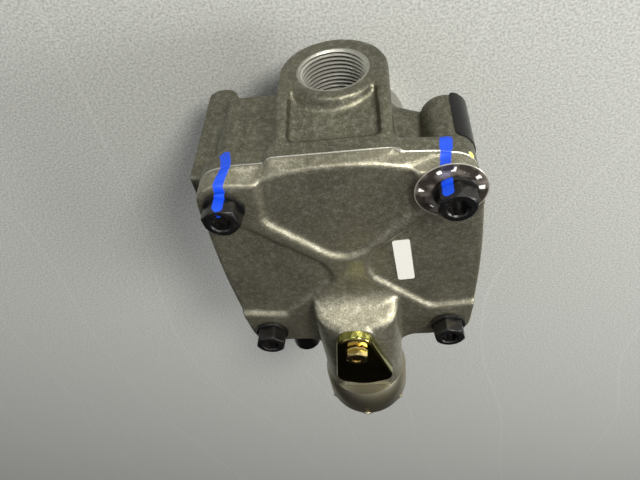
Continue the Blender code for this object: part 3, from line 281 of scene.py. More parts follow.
def addNode(tree, kind, *inputs, output=None, **named):
    # Inputs fill the sockets in turn: MapRange takes a value, the two ends it comes from and the two it goes to. A
    # name with a capital is a socket, and other names are settings.
    kind, *operation = kind.split()
    node = tree.nodes.new("ShaderNode" + kind)
    if operation:
        node.operation = operation[0]
    for name, value in named.items():
        if name[0].isupper():
            feed(tree, node.inputs[name], value)
        else:
            setattr(node, name, value)
    for socket, value in zip([socket for socket in node.inputs if socket.enabled], inputs):
        feed(tree, socket, value)
    return node.outputs[output] if output else next(socket for socket in node.outputs if socket.enabled)


def startMaterial(name):
    material = bpy.data.materials.new(name)
    material.use_nodes = True
    add = functools.partial(addNode, material.node_tree)
    # The pattern space is millimetres about the piston axis, as the shapes are.
    where = add("Mapping", Vector=add("TexCoord", output="Object"), Location=-pistonAxis, Scale=(1 / mm,) * 3)
    return material, add, where


# Places on the castings that a tool has cut: a centre, the axis through it, a radius, where along the axis it starts,
# the radius beyond which the thread is painted near-black as painted shade, and where the duller rim begins.
machinedPlaces = {
    "supplyPort": ((0, 0, 44.5), (0, 1, 0), 14.3, 40.5, 13.1, 61.0),
    "frontLeftPort": ((0, -4, 63), (-1, 0, 0), 9.7, 43.0, 8.1, 57.0),
    "rearLeftPort": ((0, 19, 63), (-1, 0, 0), 9.7, 43.0, 8.1, 57.0),
    "rightPort": ((0, 0, 63), (1, 0, 0), 9.7, 34.0, 8.1, 48.7),
    "exhaustEnd": ((0, 0, 0), (0, 0, -1), 29.7, -60.0, 40.0, -10.5),
}


def machinedMask(add, where):
    offSeam = add("Math COMPARE", add("SeparateXYZ", where, output="Z"), castLook["joint"], 0.48)
    mask, rootShade = add("Math MULTIPLY", offSeam, 0.4), 0.0
    for centre, axis, reach, start, rootR, end in machinedPlaces.values():
        out = add("VectorMath SUBTRACT", where, centre)
        along = add("VectorMath DOT_PRODUCT", out, axis)
        radius = add("VectorMath LENGTH", add("VectorMath CROSS_PRODUCT", out, axis))
        inside = add("MapRange", radius, reach + 0.1, reach - 0.1)
        both = add("Math MULTIPLY", inside, add("Math GREATER_THAN", along, start))
        behind = add("Math LESS_THAN", along, end)
        rim = add("Math MULTIPLY_ADD", behind, 0.6, 0.4)
        mask = add("Math MAXIMUM", mask, add("Math MULTIPLY", both, rim))
        # painted shade: the thread grooves beyond rootR are painted near-black
        root = add("Math MULTIPLY", add("MapRange", radius, rootR, rootR + 0.35), both)
        rootShade = add("Math MAXIMUM", rootShade, add("Math MULTIPLY", root, behind))
    return mask, rootShade


# Assembly marks: two blue strokes of a felt marker and one yellow dot. A stroke starts at x and z, bends between
# heights, and ends round on the screw head.
marks = {
    "blue": "#0043cc", "yellow": "#d8d56c", "roughness": 0.55,
    "strokes": (
        {"x": -41.6, "z": 75.9, "front": 45.0, "end": 102.4, "low": 2.0, "high": 1.85,
         "bends": ((74.0, 85.5, 2.6), (87.5, 95.5, -1.9), (96.5, 100.0, -0.3))},
        {"x": 39.8, "z": 80.6, "front": 46.0, "end": 101.9, "low": 2.3, "high": 1.85,
         "bends": ((78.0, 93.0, -1.9), (97.0, 99.5, 0.2))},
    ),
    "dot": (47.8, 49.9, 86.0), "dotRadius": 1.5,
}


def strokeMask(add, where, stroke):
    ragged = add("TexNoise", Vector=where, Scale=1 / 1.4, Detail=2.0)  # felt tip, 1.4 mm
    wobble = add("Math MULTIPLY_ADD", ragged, 0.8, -0.4)
    x, y, height = add("SeparateXYZ", where).node.outputs
    centre = stroke["x"]
    for start, end, step in stroke["bends"]:
        centre = add("Math ADD", add("MapRange", height, start, end, 0.0, step), centre)
    across = add("Math SUBTRACT", x, centre)
    kept = add("Clamp", height, stroke["z"], stroke["end"])
    beyond = add("Math SUBTRACT", height, kept)  # rounds both ends of the stroke
    away = add("VectorMath LENGTH", add("CombineXYZ", across, beyond))
    half = add("MapRange", height, 84.5, 87.0, stroke["low"], stroke["high"])
    inside = add("Math SUBTRACT", half, add("Math ADD", away, wobble))
    front = add("Math GREATER_THAN", y, stroke["front"])
    return add("Math MULTIPLY", add("MapRange", inside, -0.12, 0.12), front)


def withMarks(add, where, colour, roughness, metallic):
    first, second = (strokeMask(add, where, stroke) for stroke in marks["strokes"])
    toDot = add("VectorMath DISTANCE", where, marks["dot"])
    yellow = add("MapRange", toDot, marks["dotRadius"] + 0.25, marks["dotRadius"] - 0.25)
    painted = add("Math MAXIMUM", add("Math MAXIMUM", first, second), yellow)
    paint = add("Mix", yellow, linear(marks["blue"]), linear(marks["yellow"]), data_type="RGBA")
    return (add("Mix", painted, colour, paint, data_type="RGBA"), add("Mix", painted, roughness, marks["roughness"]),
            add("Math MULTIPLY", add("Math SUBTRACT", 1.0, painted), metallic))


def coated(material, add, height, depth, strength, base, *layers, roughness, metallic=0.0, specular=0.5, marked=None):
    # Colours lie over each other, each where its mask lets it show, and the relief is in millimetres.
    colour = linear(base)
    for mask, over in layers:
        colour = add("Mix", mask, colour, linear(over), data_type="RGBA")
    if marked:
        colour, roughness, metallic = withMarks(add, marked, colour, roughness, metallic)
    inputs = {"Base Color": colour, "Roughness": roughness, "Metallic": metallic, "Specular IOR Level": specular,
              "Normal": add("Bump", Height=height, Distance=depth * mm, Strength=strength)}
    shader = material.node_tree.nodes["Principled BSDF"]
    for name, value in inputs.items():
        feed(material.node_tree, shader.inputs[name], value)
    return material


castLook = {
    "body": {"base": "#6b6959", "dark": "#49473c", "bright": "#bab9aa", "roughness": 0.38},
    "cover": {"base": "#94907c", "dark": "#5e5a4c", "bright": "#dedccb", "roughness": 0.35},
    "cut": "#cfcec5", "root": "#1f1d18", "creaseShade": "#37342a", "metallic": 0.84, "joint": 87.4,
}


def castAluminium(name, look):
    # Cast aluminium, shot blasted: satin grey with fine grain and cloudy stains. Convex edges are painted lighter and
    # smoother, partly wear and partly a painted highlight, and concave creases are painted darker as painted shade.
    # Shot marks are 0.3 mm across, and the grain is drawn at 0.7 mm so that it shows.
    material, add, where = startMaterial(name)
    grain = add("TexNoise", Vector=where, Scale=1 / 0.7, Detail=5.0, Roughness=0.7)
    mottle = add("TexNoise", Vector=where, Scale=1 / 2.4, Detail=4.0, Roughness=0.6)
    clouds = add("TexNoise", Vector=where, Scale=1 / 15.0, Detail=3.0, Roughness=0.55)
    drawn = add("Mapping", Vector=where, Scale=(1.0, 0.9, 0.14))
    streaks = add("TexNoise", Vector=drawn, Scale=1 / 3.2, Detail=3.0)
    edge = add("NewGeometry", output="Pointiness")
    # convex edges (high pointiness) painted lighter and less rough: partly wear, partly a painted highlight
    wearAndHighlight = add("MapRange", edge, 0.53, 0.60, 0.0, 0.60)
    cut, rootShade = machinedMask(add, where)
    roughness = add("Math MULTIPLY_ADD", clouds, 0.14, look["roughness"] - 0.06)
    roughness = add("Math MULTIPLY_ADD", wearAndHighlight, -0.12, roughness)
    relief = add("Math MULTIPLY_ADD", mottle, 0.8, grain)
    return coated(material, add, relief, 0.12, 1.0, look["base"],
                  (add("MapRange", clouds, 0.42, 0.70, 0.0, 0.50), look["dark"]),  # stains
                  (add("MapRange", streaks, 0.45, 0.75, 0.0, 0.25), look["dark"]),
                  (add("MapRange", mottle, 0.46, 0.68, 0.0, 0.26), look["bright"]),
                  (add("MapRange", grain, 0.50, 0.36, 0.0, 0.60), look["dark"]),  # pits
                  (add("MapRange", grain, 0.56, 0.72, 0.0, 0.60), look["bright"]),  # glints
                  # painted highlight with wear on convex edges
                  (wearAndHighlight, look["bright"]),
                  # concave creases (low pointiness) painted dark: painted shade
                  (add("MapRange", edge, 0.47, 0.40, 0.0, 0.40), castLook["creaseShade"]),
                  # machined faces, then the thread grooves painted near-black as painted shade
                  (cut, castLook["cut"]), (rootShade, castLook["root"]),
                  roughness=add("Mix", cut, roughness, 0.30), metallic=castLook["metallic"], marked=where)


def blackPhosphate(name, marked):
    # Oiled black phosphate on steel: soft black with a low gleam, browner where the oil has dried. Real crystals are
    # far finer than 0.5 mm, the size at which they start to show.
    material, add, where = startMaterial(name)
    crystals = add("TexNoise", Vector=where, Scale=1 / 0.5, Detail=4.0, Roughness=0.6)
    dried = add("TexNoise", Vector=where, Scale=1 / 4.0)
    scuffs = add("TexNoise", Vector=where, Scale=1 / 1.3, Detail=3.0)
    return coated(material, add, crystals, 0.03, 0.6, "#0b0b0c",
                  (add("MapRange", dried, 0.4, 0.7), "#141210"),
                  (add("MapRange", scuffs, 0.60, 0.74, 0.0, 0.4), "#3e3d3b"),
                  roughness=add("Math MULTIPLY_ADD", crystals, 0.16, 0.22), specular=0.4,
                  marked=where if marked else None)


def yellowChromate(name, look):
    # Zinc plate with yellow chromate: a bright mirror whose film turns gold, green and rose; convex edges are painted
    # pale, partly wear and partly a painted highlight.
    material, add, where = startMaterial(name)
    film = add("TexNoise", Vector=where, Scale=1 / 5.0, Detail=2.0, Distortion=0.8)
    drift = add("TexNoise", Vector=where, Scale=1 / 11.0, Detail=2.0, Distortion=0.4)
    layers = [(add("MapRange", drift, 0.42, 0.64, 0.0, look["spread"]), look["gold"]),
              (add("MapRange", film, 0.54, 0.68, 0.0, look["spread"]), look["green"]),
              (add("MapRange", film, 0.44, 0.34, 0.0, 0.4 * look["spread"]), look["rose"])]
    if "rim" in look:  # the pressed edge below its flat face, painted lighter as a painted reflection
        height = add("SeparateXYZ", where, output="Z")
        layers.append((add("MapRange", height, look["rimTop"], look["rimTop"] - 0.7), look["rim"]))
    edge = add("NewGeometry", output="Pointiness")
    # convex edges painted pale: wear and a painted highlight
    layers.append((add("MapRange", edge, 0.53, 0.60, 0.0, look["edgeWearAndHighlight"]), look["edge"]))
    brush = add("TexNoise", Vector=where, Scale=1 / 0.8, Detail=3.0, Roughness=0.6)
    return coated(material, add, brush, 0.012, 0.5, look["deep"], *layers,
                  roughness=add("Math MULTIPLY_ADD", brush, 0.10, look["roughness"]), metallic=1.0)


def turnedMetal(name, colour, roughness):
    # Turned on a lathe: clean bright metal with fine rings from the tool.
    material, add, where = startMaterial(name)
    feedTurn = add("Math MULTIPLY", add("SeparateXYZ", where, output="Z"), math.tau / 0.4)  # 0.4 mm a turn
    patina = add("TexNoise", Vector=where, Scale=1 / 6.0, Detail=3.0)
    dull = add("MapRange", patina, 0.35, 0.70, 0.0, 0.3)
    return coated(material, add, add("Math SINE", feedTurn), 0.01, 0.4, colour, (dull, "#8d8a84"),
                  roughness=add("Math MULTIPLY_ADD", patina, 0.12, roughness), metallic=1.0)


def moulded(name, colour, roughness):
    # Moulded rubber or nylon: dark, even and matt, with a slight bloom.
    material, add, where = startMaterial(name)
    bloom = add("TexNoise", Vector=where, Scale=1 / 3.0, Detail=4.0, Roughness=0.6)
    return coated(material, add, bloom, 0.05, 0.4, colour, (add("Math MULTIPLY", bloom, 0.35), "#4a4845"),
                  roughness=add("Math MULTIPLY_ADD", bloom, 0.15, roughness))


foilLook = {
    "base": "#4c453f", "pale": "#aaa198", "paintedGlint": "#fbfaf6", "rim": "#b9b3a8", "centre": (39.8, 43.5, 96.5),
    "rimFrom": 12.4, "ring": 10.3, "ringHalf": 1.0, "dashes": 13.0, "metallic": 0.6,
}


def printedFoil(name, look):
    # Thin metal foil, printed dark and varnished: glossy and dented, with a bare rim. Lighter patches on the dents are
    # a painted reflection, and a ring of near-white dashes is a painted glint from an embossed text.
    material, add, where = startMaterial(name)
    dents = add("TexNoise", Vector=where, Scale=1 / 5.0, Detail=2.0, Roughness=0.4)
    out = add("VectorMath SUBTRACT", where, look["centre"])
    radius = add("VectorMath LENGTH", out)
    x, y, _ = add("SeparateXYZ", out).node.outputs
    turn = add("Math MULTIPLY", add("Math ARCTAN2", y, x), look["dashes"] / math.tau)
    dash = add("Math LESS_THAN", add("Math FRACT", turn), 0.34)
    ring = add("Math COMPARE", radius, look["ring"], look["ringHalf"])
    # the painted glints show only where the dent noise is high
    wearAndHighlight = add("MapRange", dents, 0.46, 0.50)
    paintedGlint = add("Math MULTIPLY", add("Math MULTIPLY", dash, ring), wearAndHighlight)
    rim = add("MapRange", radius, look["rimFrom"] - 0.1, look["rimFrom"] + 0.1)
    return coated(material, add, dents, 1.1, 0.6, look["base"],
                  # pale patches: painted reflection; near-white dashes: painted glints
                  (add("MapRange", dents, 0.42, 0.66), look["pale"]), (paintedGlint, look["paintedGlint"]), (rim, look["rim"]),
                  roughness=add("MapRange", dents, 0.3, 0.8, 0.14, 0.34),
                  metallic=add("Math MULTIPLY_ADD", paintedGlint, -look["metallic"], look["metallic"]))


def paperLabel(name):
    # Matt coated paper: nearly white, with a faint fibre.
    material, add, where = startMaterial(name)
    fibre = add("TexNoise", Vector=where, Scale=1 / 0.7, Detail=4.0, Roughness=0.7)
    return coated(material, add, fibre, 0.02, 0.4, "#d2d0ca",
                  (add("MapRange", fibre, 0.5, 0.8, 0.0, 0.25), "#a9a7a1"),
                  roughness=add("Math MULTIPLY_ADD", fibre, 0.2, 0.45))


def blackFilm(name):
    # Printed vinyl: deep gloss black with a few dust specks.
    material, add, where = startMaterial(name)
    dust = add("TexNoise", Vector=where, Scale=1 / 0.6, Detail=4.0, Roughness=0.7)
    ripple = add("TexNoise", Vector=where, Scale=1 / 3.0)
    return coated(material, add, ripple, 0.05, 0.4, "#0b0a0c",
                  (add("MapRange", dust, 0.66, 0.72, 0.0, 0.5), "#6f6d6a"),
                  roughness=add("MapRange", ripple, 0.3, 0.7, 0.16, 0.30), specular=0.2)


fittingLook = {"deep": "#a19d90", "gold": "#b0a684", "green": "#a3a488", "rose": "#b39a86", "edge": "#e2c98c",
               "spread": 0.6, "edgeWearAndHighlight": 0.3, "roughness": 0.33}
shieldLook = {"deep": "#7c7244", "gold": "#a8964e", "green": "#8d9448", "rose": "#97714a", "edge": "#e3d27a",
              "rim": "#aaaf66", "rimTop": 113.4, "spread": 0.8, "edgeWearAndHighlight": 0.8, "roughness": 0.07}
screwLook = {"deep": "#b0904e", "gold": "#d9c182", "green": "#b9b36a", "rose": "#b98a5c", "edge": "#f0dca0",
             "spread": 0.9, "edgeWearAndHighlight": 0.8, "roughness": 0.13}
bodyMetal = castAluminium("castAluminiumBody", castLook["body"])
coverMetal = castAluminium("castAluminiumCover", castLook["cover"])
boltSteel = blackPhosphate("blackPhosphateSteel", False)
markedSteel = blackPhosphate("blackPhosphateSteelMarked", True)
fittingZinc = yellowChromate("yellowChromateFitting", fittingLook)
shieldZinc = yellowChromate("yellowChromatePressing", shieldLook)
screwZinc = yellowChromate("yellowChromateScrew", screwLook)
foil = printedFoil("varnishedTagFoil", foilLook)
paper = paperLabel("coatedPaper")
film = blackFilm("glossBlackVinyl")
pistonMetal = turnedMetal("turnedAluminium", "#b9b9b6", 0.24)
brassMetal = turnedMetal("turnedBrass", "#b5894a", 0.22)
springMetal = turnedMetal("drawnSpringSteel", "#77777a", 0.28)
rubber = moulded("mouldedNitrile", "#161616", 0.6)
nylon = moulded("mouldedNylon", "#232325", 0.42)
print("materials made")


# The outline that the body flange and the cover share, and the bolt pattern.
plate = {
    "boltX": 41.3, "boltY": 43.4, "holeR": 4.3, "cornerR": 10.2, "rearCornerR": 9.4, "bulge": 2.0,
    "crownTop": 57.5, "crownStep": 2.3, "crownRight": 22.2, "crownLeft": -24.3, "arcRise": 4.7, "arcHalf": 28.0,
    "seam": 87.5, "gap": 0.25, "fieldTop": 94.0, "padTop": 96.0, "flangeLow": 78.5, "edgeRound": 2.2,
    "housingR": 19.0, "housingX": 0.6, "housingFillet": 8.5,
}
boltPlaces = [(x * plate["boltX"], y * plate["boltY"]) for x, y in ((1, 1), (-1, 1), (-1, -1), (1, -1))]
bodyTop = plate["seam"] - plate["gap"]


def seamCrown(inset):
    # Rear edge at the joint face, right to left: a raised middle between two small steps.
    right, left, half = plate["crownRight"], plate["crownLeft"], plate["crownStep"] / 2
    low, high = plate["crownTop"] - plate["crownStep"] - inset, plate["crownTop"] - inset
    points = [(plate["boltX"] - 5, low - 1), (right + half, low), (right - half, high)]
    points += [(right * k / 4, high) for k in (2, 1, 0, -1, -2)]
    return points + [(left + half, high), (left - half, low), (4 - plate["boltX"], low)]


def topCrown(inset):
    # Rear edge at the outer face, right to left: one shallow arc.
    radius = (plate["arcHalf"] ** 2 + plate["arcRise"] ** 2) / (2 * plate["arcRise"])
    half = math.degrees(math.asin(plate["arcHalf"] / radius))
    return arc((0, plate["crownTop"] - inset - radius), radius, 90 - half, 90 + half, 10)


def plateOutline(withHousing, inset=0.0, crown=seamCrown):
    boltX, boltY, corner = plate["boltX"], plate["boltY"], plate["cornerR"] - inset
    side = [(boltX + corner + plate["bulge"] * (1 - (k / 8) ** 2), boltY * k / 8) for k in range(-7, 8)]
    points = arc((boltX, -boltY), corner, -90, -4, 10) + side
    points += arc((boltX - 0.4, boltY), plate["rearCornerR"] - inset, 4, 84, 10)
    points += crown(inset)
    points += arc((-boltX, boltY + 0.8), corner, 96, 176, 10) + [(-x, y) for x, y in reversed(side)]
    points += arc((-boltX, -boltY), corner, 184, 270, 10)
    if withHousing:
        radius = plate["housingFillet"]
        reach = plate["housingR"] - 0.7 + radius - inset
        low = -boltY - plate["cornerR"] - radius + inset
        points += arc((plate["housingX"] - reach, low), radius, 90, 0, 10)
        points += arc((plate["housingX"] + reach, low), radius, 180, 90, 10)
    return points


def flaredPlate(low, high, flatInset, outset, upward):
    # The plate outline with a 45 degree flare, which leaves a thin chamfer on a machined joint face.
    reach = outset + flatInset
    wide, tight = plateOutline(False, -outset), plateOutline(False, flatInset)
    if upward:
        return lofted([(wide, low), (wide, high - reach), (tight, high)])
    return lofted([(tight, low), (wide, low + reach), (wide, high)])


bodyShape = {
    "voxel": 0.9, "rounds": 5, "neckR": 31.0, "neckEndR": 28.9, "barrelR": 40.6, "barrelLow": 66.0, "waistLow": 42.0,
    "columnR": 9.1, "columnLow": 52.5, "leftColumnR": 7.1,
    "shelf": (-47.0, -20.0, -12.0, 47.6, 35.2), "slab": (-58.3, -45.0, -16.0, 43.2, 22.3, 5.5),
    "web": (44.0, 45.5, 51.5), "supplyZ": 44.5, "supplyFace": 62.3, "supplyR": 21.5,
    "supplyCrest": 12.4, "supplyRoot": 13.7, "supplyPitch": 1.814, "supplyDepth": 20.0,
    "archFlat": 62.0, "archLean": 13.5, "pocketR": 19.6, "pocketHalf": 16.7, "pocketLow": 80.8, "pocketFloor": 58.0,
    "portZ": 63.0, "leftPorts": (-4.0, 19.0), "rightPort": 0.0, "rightFace": 50.0, "rightR": 14.0,
    "plugX": -31.0, "plugZ": 78.6, "plugFace": 66.0, "plugBossR": 8.0, "grooveR": (38.4, 41.8), "grooveDepth": 2.6,
    "bore": [(36, 100), (36, 69), (27, 69), (27, 58), (15, 58), (15, 53), (16.6, 53), (16.6, 54), (23, 54), (23, 31),
             (25.5, 31), (25.5, 4.9), (28, 4.9), (28, 2.7), (25.5, 2.7), (26.3, -1)],
}
sidePort = {"root": 8.6, "crest": 7.7, "pitch": 1.411, "depth": 15.0, "boreR": 4.6, "boreEnd": 7.4}


def portTools(p, start, mouth, lead):
    # The thread of a 3/8 in port, its lead-in and the bore behind it.
    inner = mouth - p["depth"]
    return (threadTool(p["root"], p["crest"], p["pitch"], inner, mouth + 1, 40),
            spindle([(p["crest"] - 0.3, mouth - 1.2), (p["root"] + lead, mouth + 1)], 48),
            spindle([(p["boreR"], start), (p["boreR"], inner - 2), (p["boreEnd"], inner + 0.5)], 48))


def bodyForms(b):
    flangeLow = plate["flangeLow"]
    barrel = spindle([(b["neckEndR"], -2), (b["neckEndR"], 9), (b["neckR"], 16), (b["neckR"], b["waistLow"]),
                      (b["neckR"] + 3, 56), (b["barrelR"], b["barrelLow"]), (b["barrelR"], flangeLow + 1)])
    levels = ((1.7, flangeLow), (0.5, flangeLow + 0.6), (0.0, flangeLow + 1.7), (0.0, bodyTop + 2.0))
    flange = lofted([(plateOutline(False, inset), height) for inset, height in levels])
    parts = [barrel, flange]
    for n, (x, y) in enumerate(boltPlaces):
        radius = b["leftColumnR"] if n == 1 else b["columnR"]
        low = b["columnLow"]
        parts.append(placed(spindle([(radius - 2.0, low), (radius - 0.6, low + 0.6), (radius, low + 2.0),
                                     (radius, flangeLow + 1.2)]), x, y))
    left, right, low, high, bottom = b["shelf"]
    parts.append(extruded(roundedBox(left, right, low, high, 2.0), bottom, flangeLow + 0.9))
    face, back, low, high, bottom, endR = b["slab"]
    slab = [(back, flangeLow + 0.6), (face, flangeLow + 0.6)] + arc((face + endR, bottom + endR), endR, 180, 270, 8)
    slab += arc((back - endR, bottom + endR), endR, 270, 360, 8)
    parts.append(laidToFront(extruded(slab, -high, -low)))
    # The supply boss is an arch: a ring above, two legs below, and a pocket between them.
    right, mouth, middle = b["supplyR"], b["supplyFace"], b["supplyZ"]
    outline = arc((0, middle), right, 180, 360, 48) + [(right, flangeLow + 8), (-right, flangeLow + 8)]
    arch = laidToFront(extruded(outline, -mouth, -15))
    lean = math.radians(b["archLean"])
    trimmed(arch, (0, mouth, b["archFlat"]), (0, math.cos(lean), math.sin(lean)))
    half, low = b["pocketHalf"], b["pocketLow"]
    reach = math.degrees(math.asin((half - 0.6) / b["pocketR"]))
    pocket = arc((0, middle), b["pocketR"], 90 + reach, 90 - reach, 16) + [(half, low), (-half, low)]
    wide = widened(pocket, 0.9)
    front, floorAt = -mouth - 1, -b["pocketFloor"]
    cutter = lofted([(wide, front), (wide, front + 1.5), (pocket, floorAt)])
    bmesh.ops.rotate(cutter, verts=[v for v in cutter.verts if v.co.z == floorAt], cent=(0, b["archFlat"], floorAt),
                     matrix=Matrix.Rotation(lean, 3, "X"))  # the floor leans as the face does
    parts.append(carved(arch, laidToFront(cutter)))
    webY, webIn, webOut = b["web"]
    webEnd = boltPlaces[0][0]
    web = [(right - 3, flangeLow + 0.7), (right - 3, webIn), (right, webIn), (webEnd - b["columnR"] + 1, webOut),
           (webEnd, webOut), (webEnd, flangeLow + 0.7)]
    parts.append(laidToFront(extruded(web, -webY, -20)))
    parts.append(placed(placed(rod(b["rightR"], 27, b["rightFace"]), about="Y", degrees=90), y=b["rightPort"],
                        z=b["portZ"]))
    parts.append(laidToFront(rod(b["plugBossR"], 37, b["plugFace"]), x=b["plugX"], z=b["plugZ"]))
    return parts


def makeBody(b):
    bm = castSkin(gathered(*bodyForms(b)), b["voxel"], b["rounds"])
    bm = carved(bm, flaredPlate(0.0, bodyTop, 0.35, 14.0, True), operation="INTERSECT")
    inner, outer = b["grooveR"]
    low = bodyTop - b["grooveDepth"]
    tools = [spindle(b["bore"]), turned([(inner, low), (outer, low), (outer, 100), (inner, 100)])]
    mouth = -b["supplyFace"]
    inner = mouth + b["supplyDepth"]
    thread = threadTool(b["supplyRoot"], b["supplyCrest"], b["supplyPitch"], mouth - 1, inner)
    mouthCone = spindle([(b["supplyRoot"] + 1.0, mouth - 1), (b["supplyCrest"] - 0.2, mouth + 1.3)])
    passage = spindle([(11.8, inner - 1), (11.8, inner + 0.5), (9.2, inner + 3), (9.2, -20)])
    tools += [laidToFront(tool, z=b["supplyZ"]) for tool in (thread, mouthCone, passage)]
    ports = [(y, b["slab"][0], 180) for y in b["leftPorts"]] + [(b["rightPort"], b["rightFace"], 0)]
    for y, face, spin in ports:
        for tool in portTools(sidePort, 22, abs(face), 1.0):
            tool = placed(placed(tool, about="Y", degrees=90), about="Z", degrees=spin)
            tools.append(placed(tool, y=y, z=b["portZ"]))
    tools += [placed(rod(plate["holeR"], 64.5, 100, 32), x, y) for x, y in boltPlaces]
    tools.append(laidToFront(rod(4.5, b["plugFace"] - 13, b["plugFace"] + 2, 32), x=b["plugX"], z=b["plugZ"]))
    return carved(bm, *tools)


finished("bodyCasting", makeBody(bodyShape), bodyMetal, "valve_body")
print("body casting made")


shieldShape = {
    "height": 4.0, "wall": 0.9, "seatMargin": 0.7,
    "tip": (-0.6, -31.8, 8.2), "right": (9.0, -58.6, 5.6), "left": (-5.4, -58.0, 6.4), "bow": (1.0, -50.6, 16.0),
    "screwX": -0.1, "screwY": -34.3, "screwR": 2.2, "screwFlats": 8.6, "screwHead": 3.6, "collarR": 5.1,
}


def shieldOutline(s, inset=0.0):
    parts = ((s["tip"], 10, 170, 24), (s["left"], 180, 245, 12), (s["bow"], 258, 286, 8), (s["right"], 300, 370, 14))
    return [point for (x, y, r), *turn in parts for point in arc((x, y), r - inset, *turn)]


coverShape = {
    "voxel": 0.62, "rounds": 4, "slopeY": -18.5, "slopeDegrees": 62.5, "flat": 14.0, "face": 76.0,
    "crest": 12.2, "crestFrom": 20.0, "crestTo": 58.0, "square": 3.0,
    "footHalf": 17.4, "footEnd": -57.0, "footRear": 4.6, "footSide": 2.4,
    "wallRun": 1.15, "tubeVoxel": 1.0, "tubeRounds": 12, "flatFrom": -54.15, "dropY": -30.0, "balance": (1.5, -53.5),
    "bore": [(4, 28), (4, 46.5), (7, 46.5), (7, 64), (12, 64), (12, 78)],
    "fields": {
        "top": [(-27.0, 70.0), (-27.3, 52.2), (-28.1, 40.4), (-29.0, 34.5), (-27.6, 31.2), (-8.6, 12.4), (-5.0, 9.7),
                (0.0, 8.7), (5.0, 9.7), (8.6, 12.4), (26.0, 31.4), (27.4, 34.5), (27.5, 54.0), (28.5, 70.0)],
        "left": [(-10.6, 5.8), (-12.6, 7.6), (-36.0, 29.4), (-40.0, 31.0), (-70.0, 31.0), (-70.0, -29.5),
                 (-49.4, -28.6), (-36.0, -30.8), (-32.0, -30.6), (-8.6, -7.0), (-7.2, -4.0), (-7.8, -1.0)],
        "right": [(9.2, 8.4), (8.1, 4.6), (8.0, -0.6), (9.9, -6.2), (31.0, -28.0), (34.5, -30.0), (51.0, -28.6),
                  (70.0, -29.5), (70.0, 33.4), (38.6, 33.4), (34.6, 32.4), (10.8, 11.0)],
    },
}


def housingForms(c):
    # A tube that starts low with square shoulders behind the slope and grows to a full circle at the fitting.
    padTop, radius, middle = plate["padTop"], plate["housingR"], plate["housingX"]
    sections = []
    for step in range(13):
        along = 1.0 + (c["face"] + 5.0) * step / 12
        share = (along - c["crestFrom"]) / (c["crestTo"] - c["crestFrom"])
        share = min(max(share, 0.0), 1.0)
        crest = c["crest"] + (radius - c["crest"]) * share
        power = c["square"] + (2.0 - c["square"]) * share
        ring = []
        for x, y in arc((0, 0), 1.0, 0, 360, 72)[:-1]:
            size = (abs(x) ** power + abs(y) ** power) ** (-1 / power) if y > 0 else 1.0
            ring.append((radius * size * x, (crest if y > 0 else radius) * size * y))
        sections.append((ring, along))
    tube = laidToFront(lofted(sections), x=middle, z=padTop)
    slope = math.radians(c["slopeDegrees"])
    trimmed(tube, (0, c["slopeY"], padTop), (0, math.sin(slope), math.cos(slope)))
    trimmed(tube, (0, 0, padTop + c["flat"]), (0, 0, 1))
    tube = castSkin(tube, c["tubeVoxel"], c["tubeRounds"])
    levels = []
    for step in range(8):  # a concave foot where the tube grows out of the pad
        turn = math.radians(90 * max(step - 1, 0) / 6)
        rear, side = c["footRear"] * (1 - math.sin(turn)), c["footSide"] * (1 - math.sin(turn))
        rise = c["footRear"] * (1 - math.cos(turn))
        back = c["slopeY"] - rise / math.tan(slope) + rear
        outline = roundedBox(middle - c["footHalf"] - side, middle + c["footHalf"] + side, c["footEnd"] - side, back,
                             5.0 + side)
        levels.append((outline, padTop + rise if step else padTop - 1.5))
    seat = extruded(shieldOutline(shieldShape, -shieldShape["seatMargin"]), padTop + 4, padTop + c["flat"])
    trimmed(seat, (0, c["slopeY"], padTop), (0, math.sin(slope), math.cos(slope)))
    return tube, lofted(levels), seat


def makeCover(c):
    seam, padTop, edge = plate["seam"], plate["padTop"], plate["edgeRound"]
    upper = plateOutline(True, 0.0, topCrown)
    webbed = roundedRim(lofted([(plateOutline(True), seam), (upper, plate["fieldTop"])]), plate["fieldTop"], edge)
    plain = extruded(plateOutline(False), seam - 2.0, seam + 1.0)
    ribs = roundedRim(extruded(plateOutline(True, 0.05, topCrown), seam + 1, padTop), padTop, edge)
    fields = []
    for outline in c["fields"].values():
        inner = widened(outline, -c["wallRun"])
        wide = widened(outline, 2 * c["wallRun"])
        fields.append(lofted([(inner, seam), (inner, plate["fieldTop"]), (wide, padTop + 1)]))
    tube, foot, seat = housingForms(c)
    ribs = carved(carved(ribs, foot, operation="UNION"), *fields)
    bm = castSkin(gathered(webbed, plain, ribs, tube, seat), c["voxel"], c["rounds"])

    behind = rectangle(-80, 80, c["flatFrom"], 90)
    under = carved(extruded(behind, 60, seam + 14), flaredPlate(seam, seam + 30, 0.35, 12.0, False))
    below = extruded(behind, 50, seam)
    face = extruded(rectangle(-40, 40, -110, -c["face"]), 60, 140)
    recess = rod(33, 80, seam + 2.8, 96)
    bore = laidToFront(spindle(c["bore"], 64), x=plate["housingX"], z=padTop)
    drop = placed(rod(3.2, seam + 1, padTop - 1, 32), plate["housingX"], c["dropY"])
    balance = spindle([(3, padTop), (3, padTop + 7.9), (8.2, padTop + 9.4), (8.2, padTop + 15)], 48)
    screwHole = placed(rod(2.5, padTop + 5, padTop + 15, 32), shieldShape["screwX"], shieldShape["screwY"])
    tools = [under, below, face, recess, bore, drop, placed(balance, *c["balance"]), screwHole]
    tools += [placed(rod(plate["holeR"], seam - 1, padTop + 2, 32), x, y) for x, y in boltPlaces]
    return carved(bm, *tools)


finished("coverCasting", makeCover(coverShape), coverMetal, "valve_cover")
print("cover casting made")


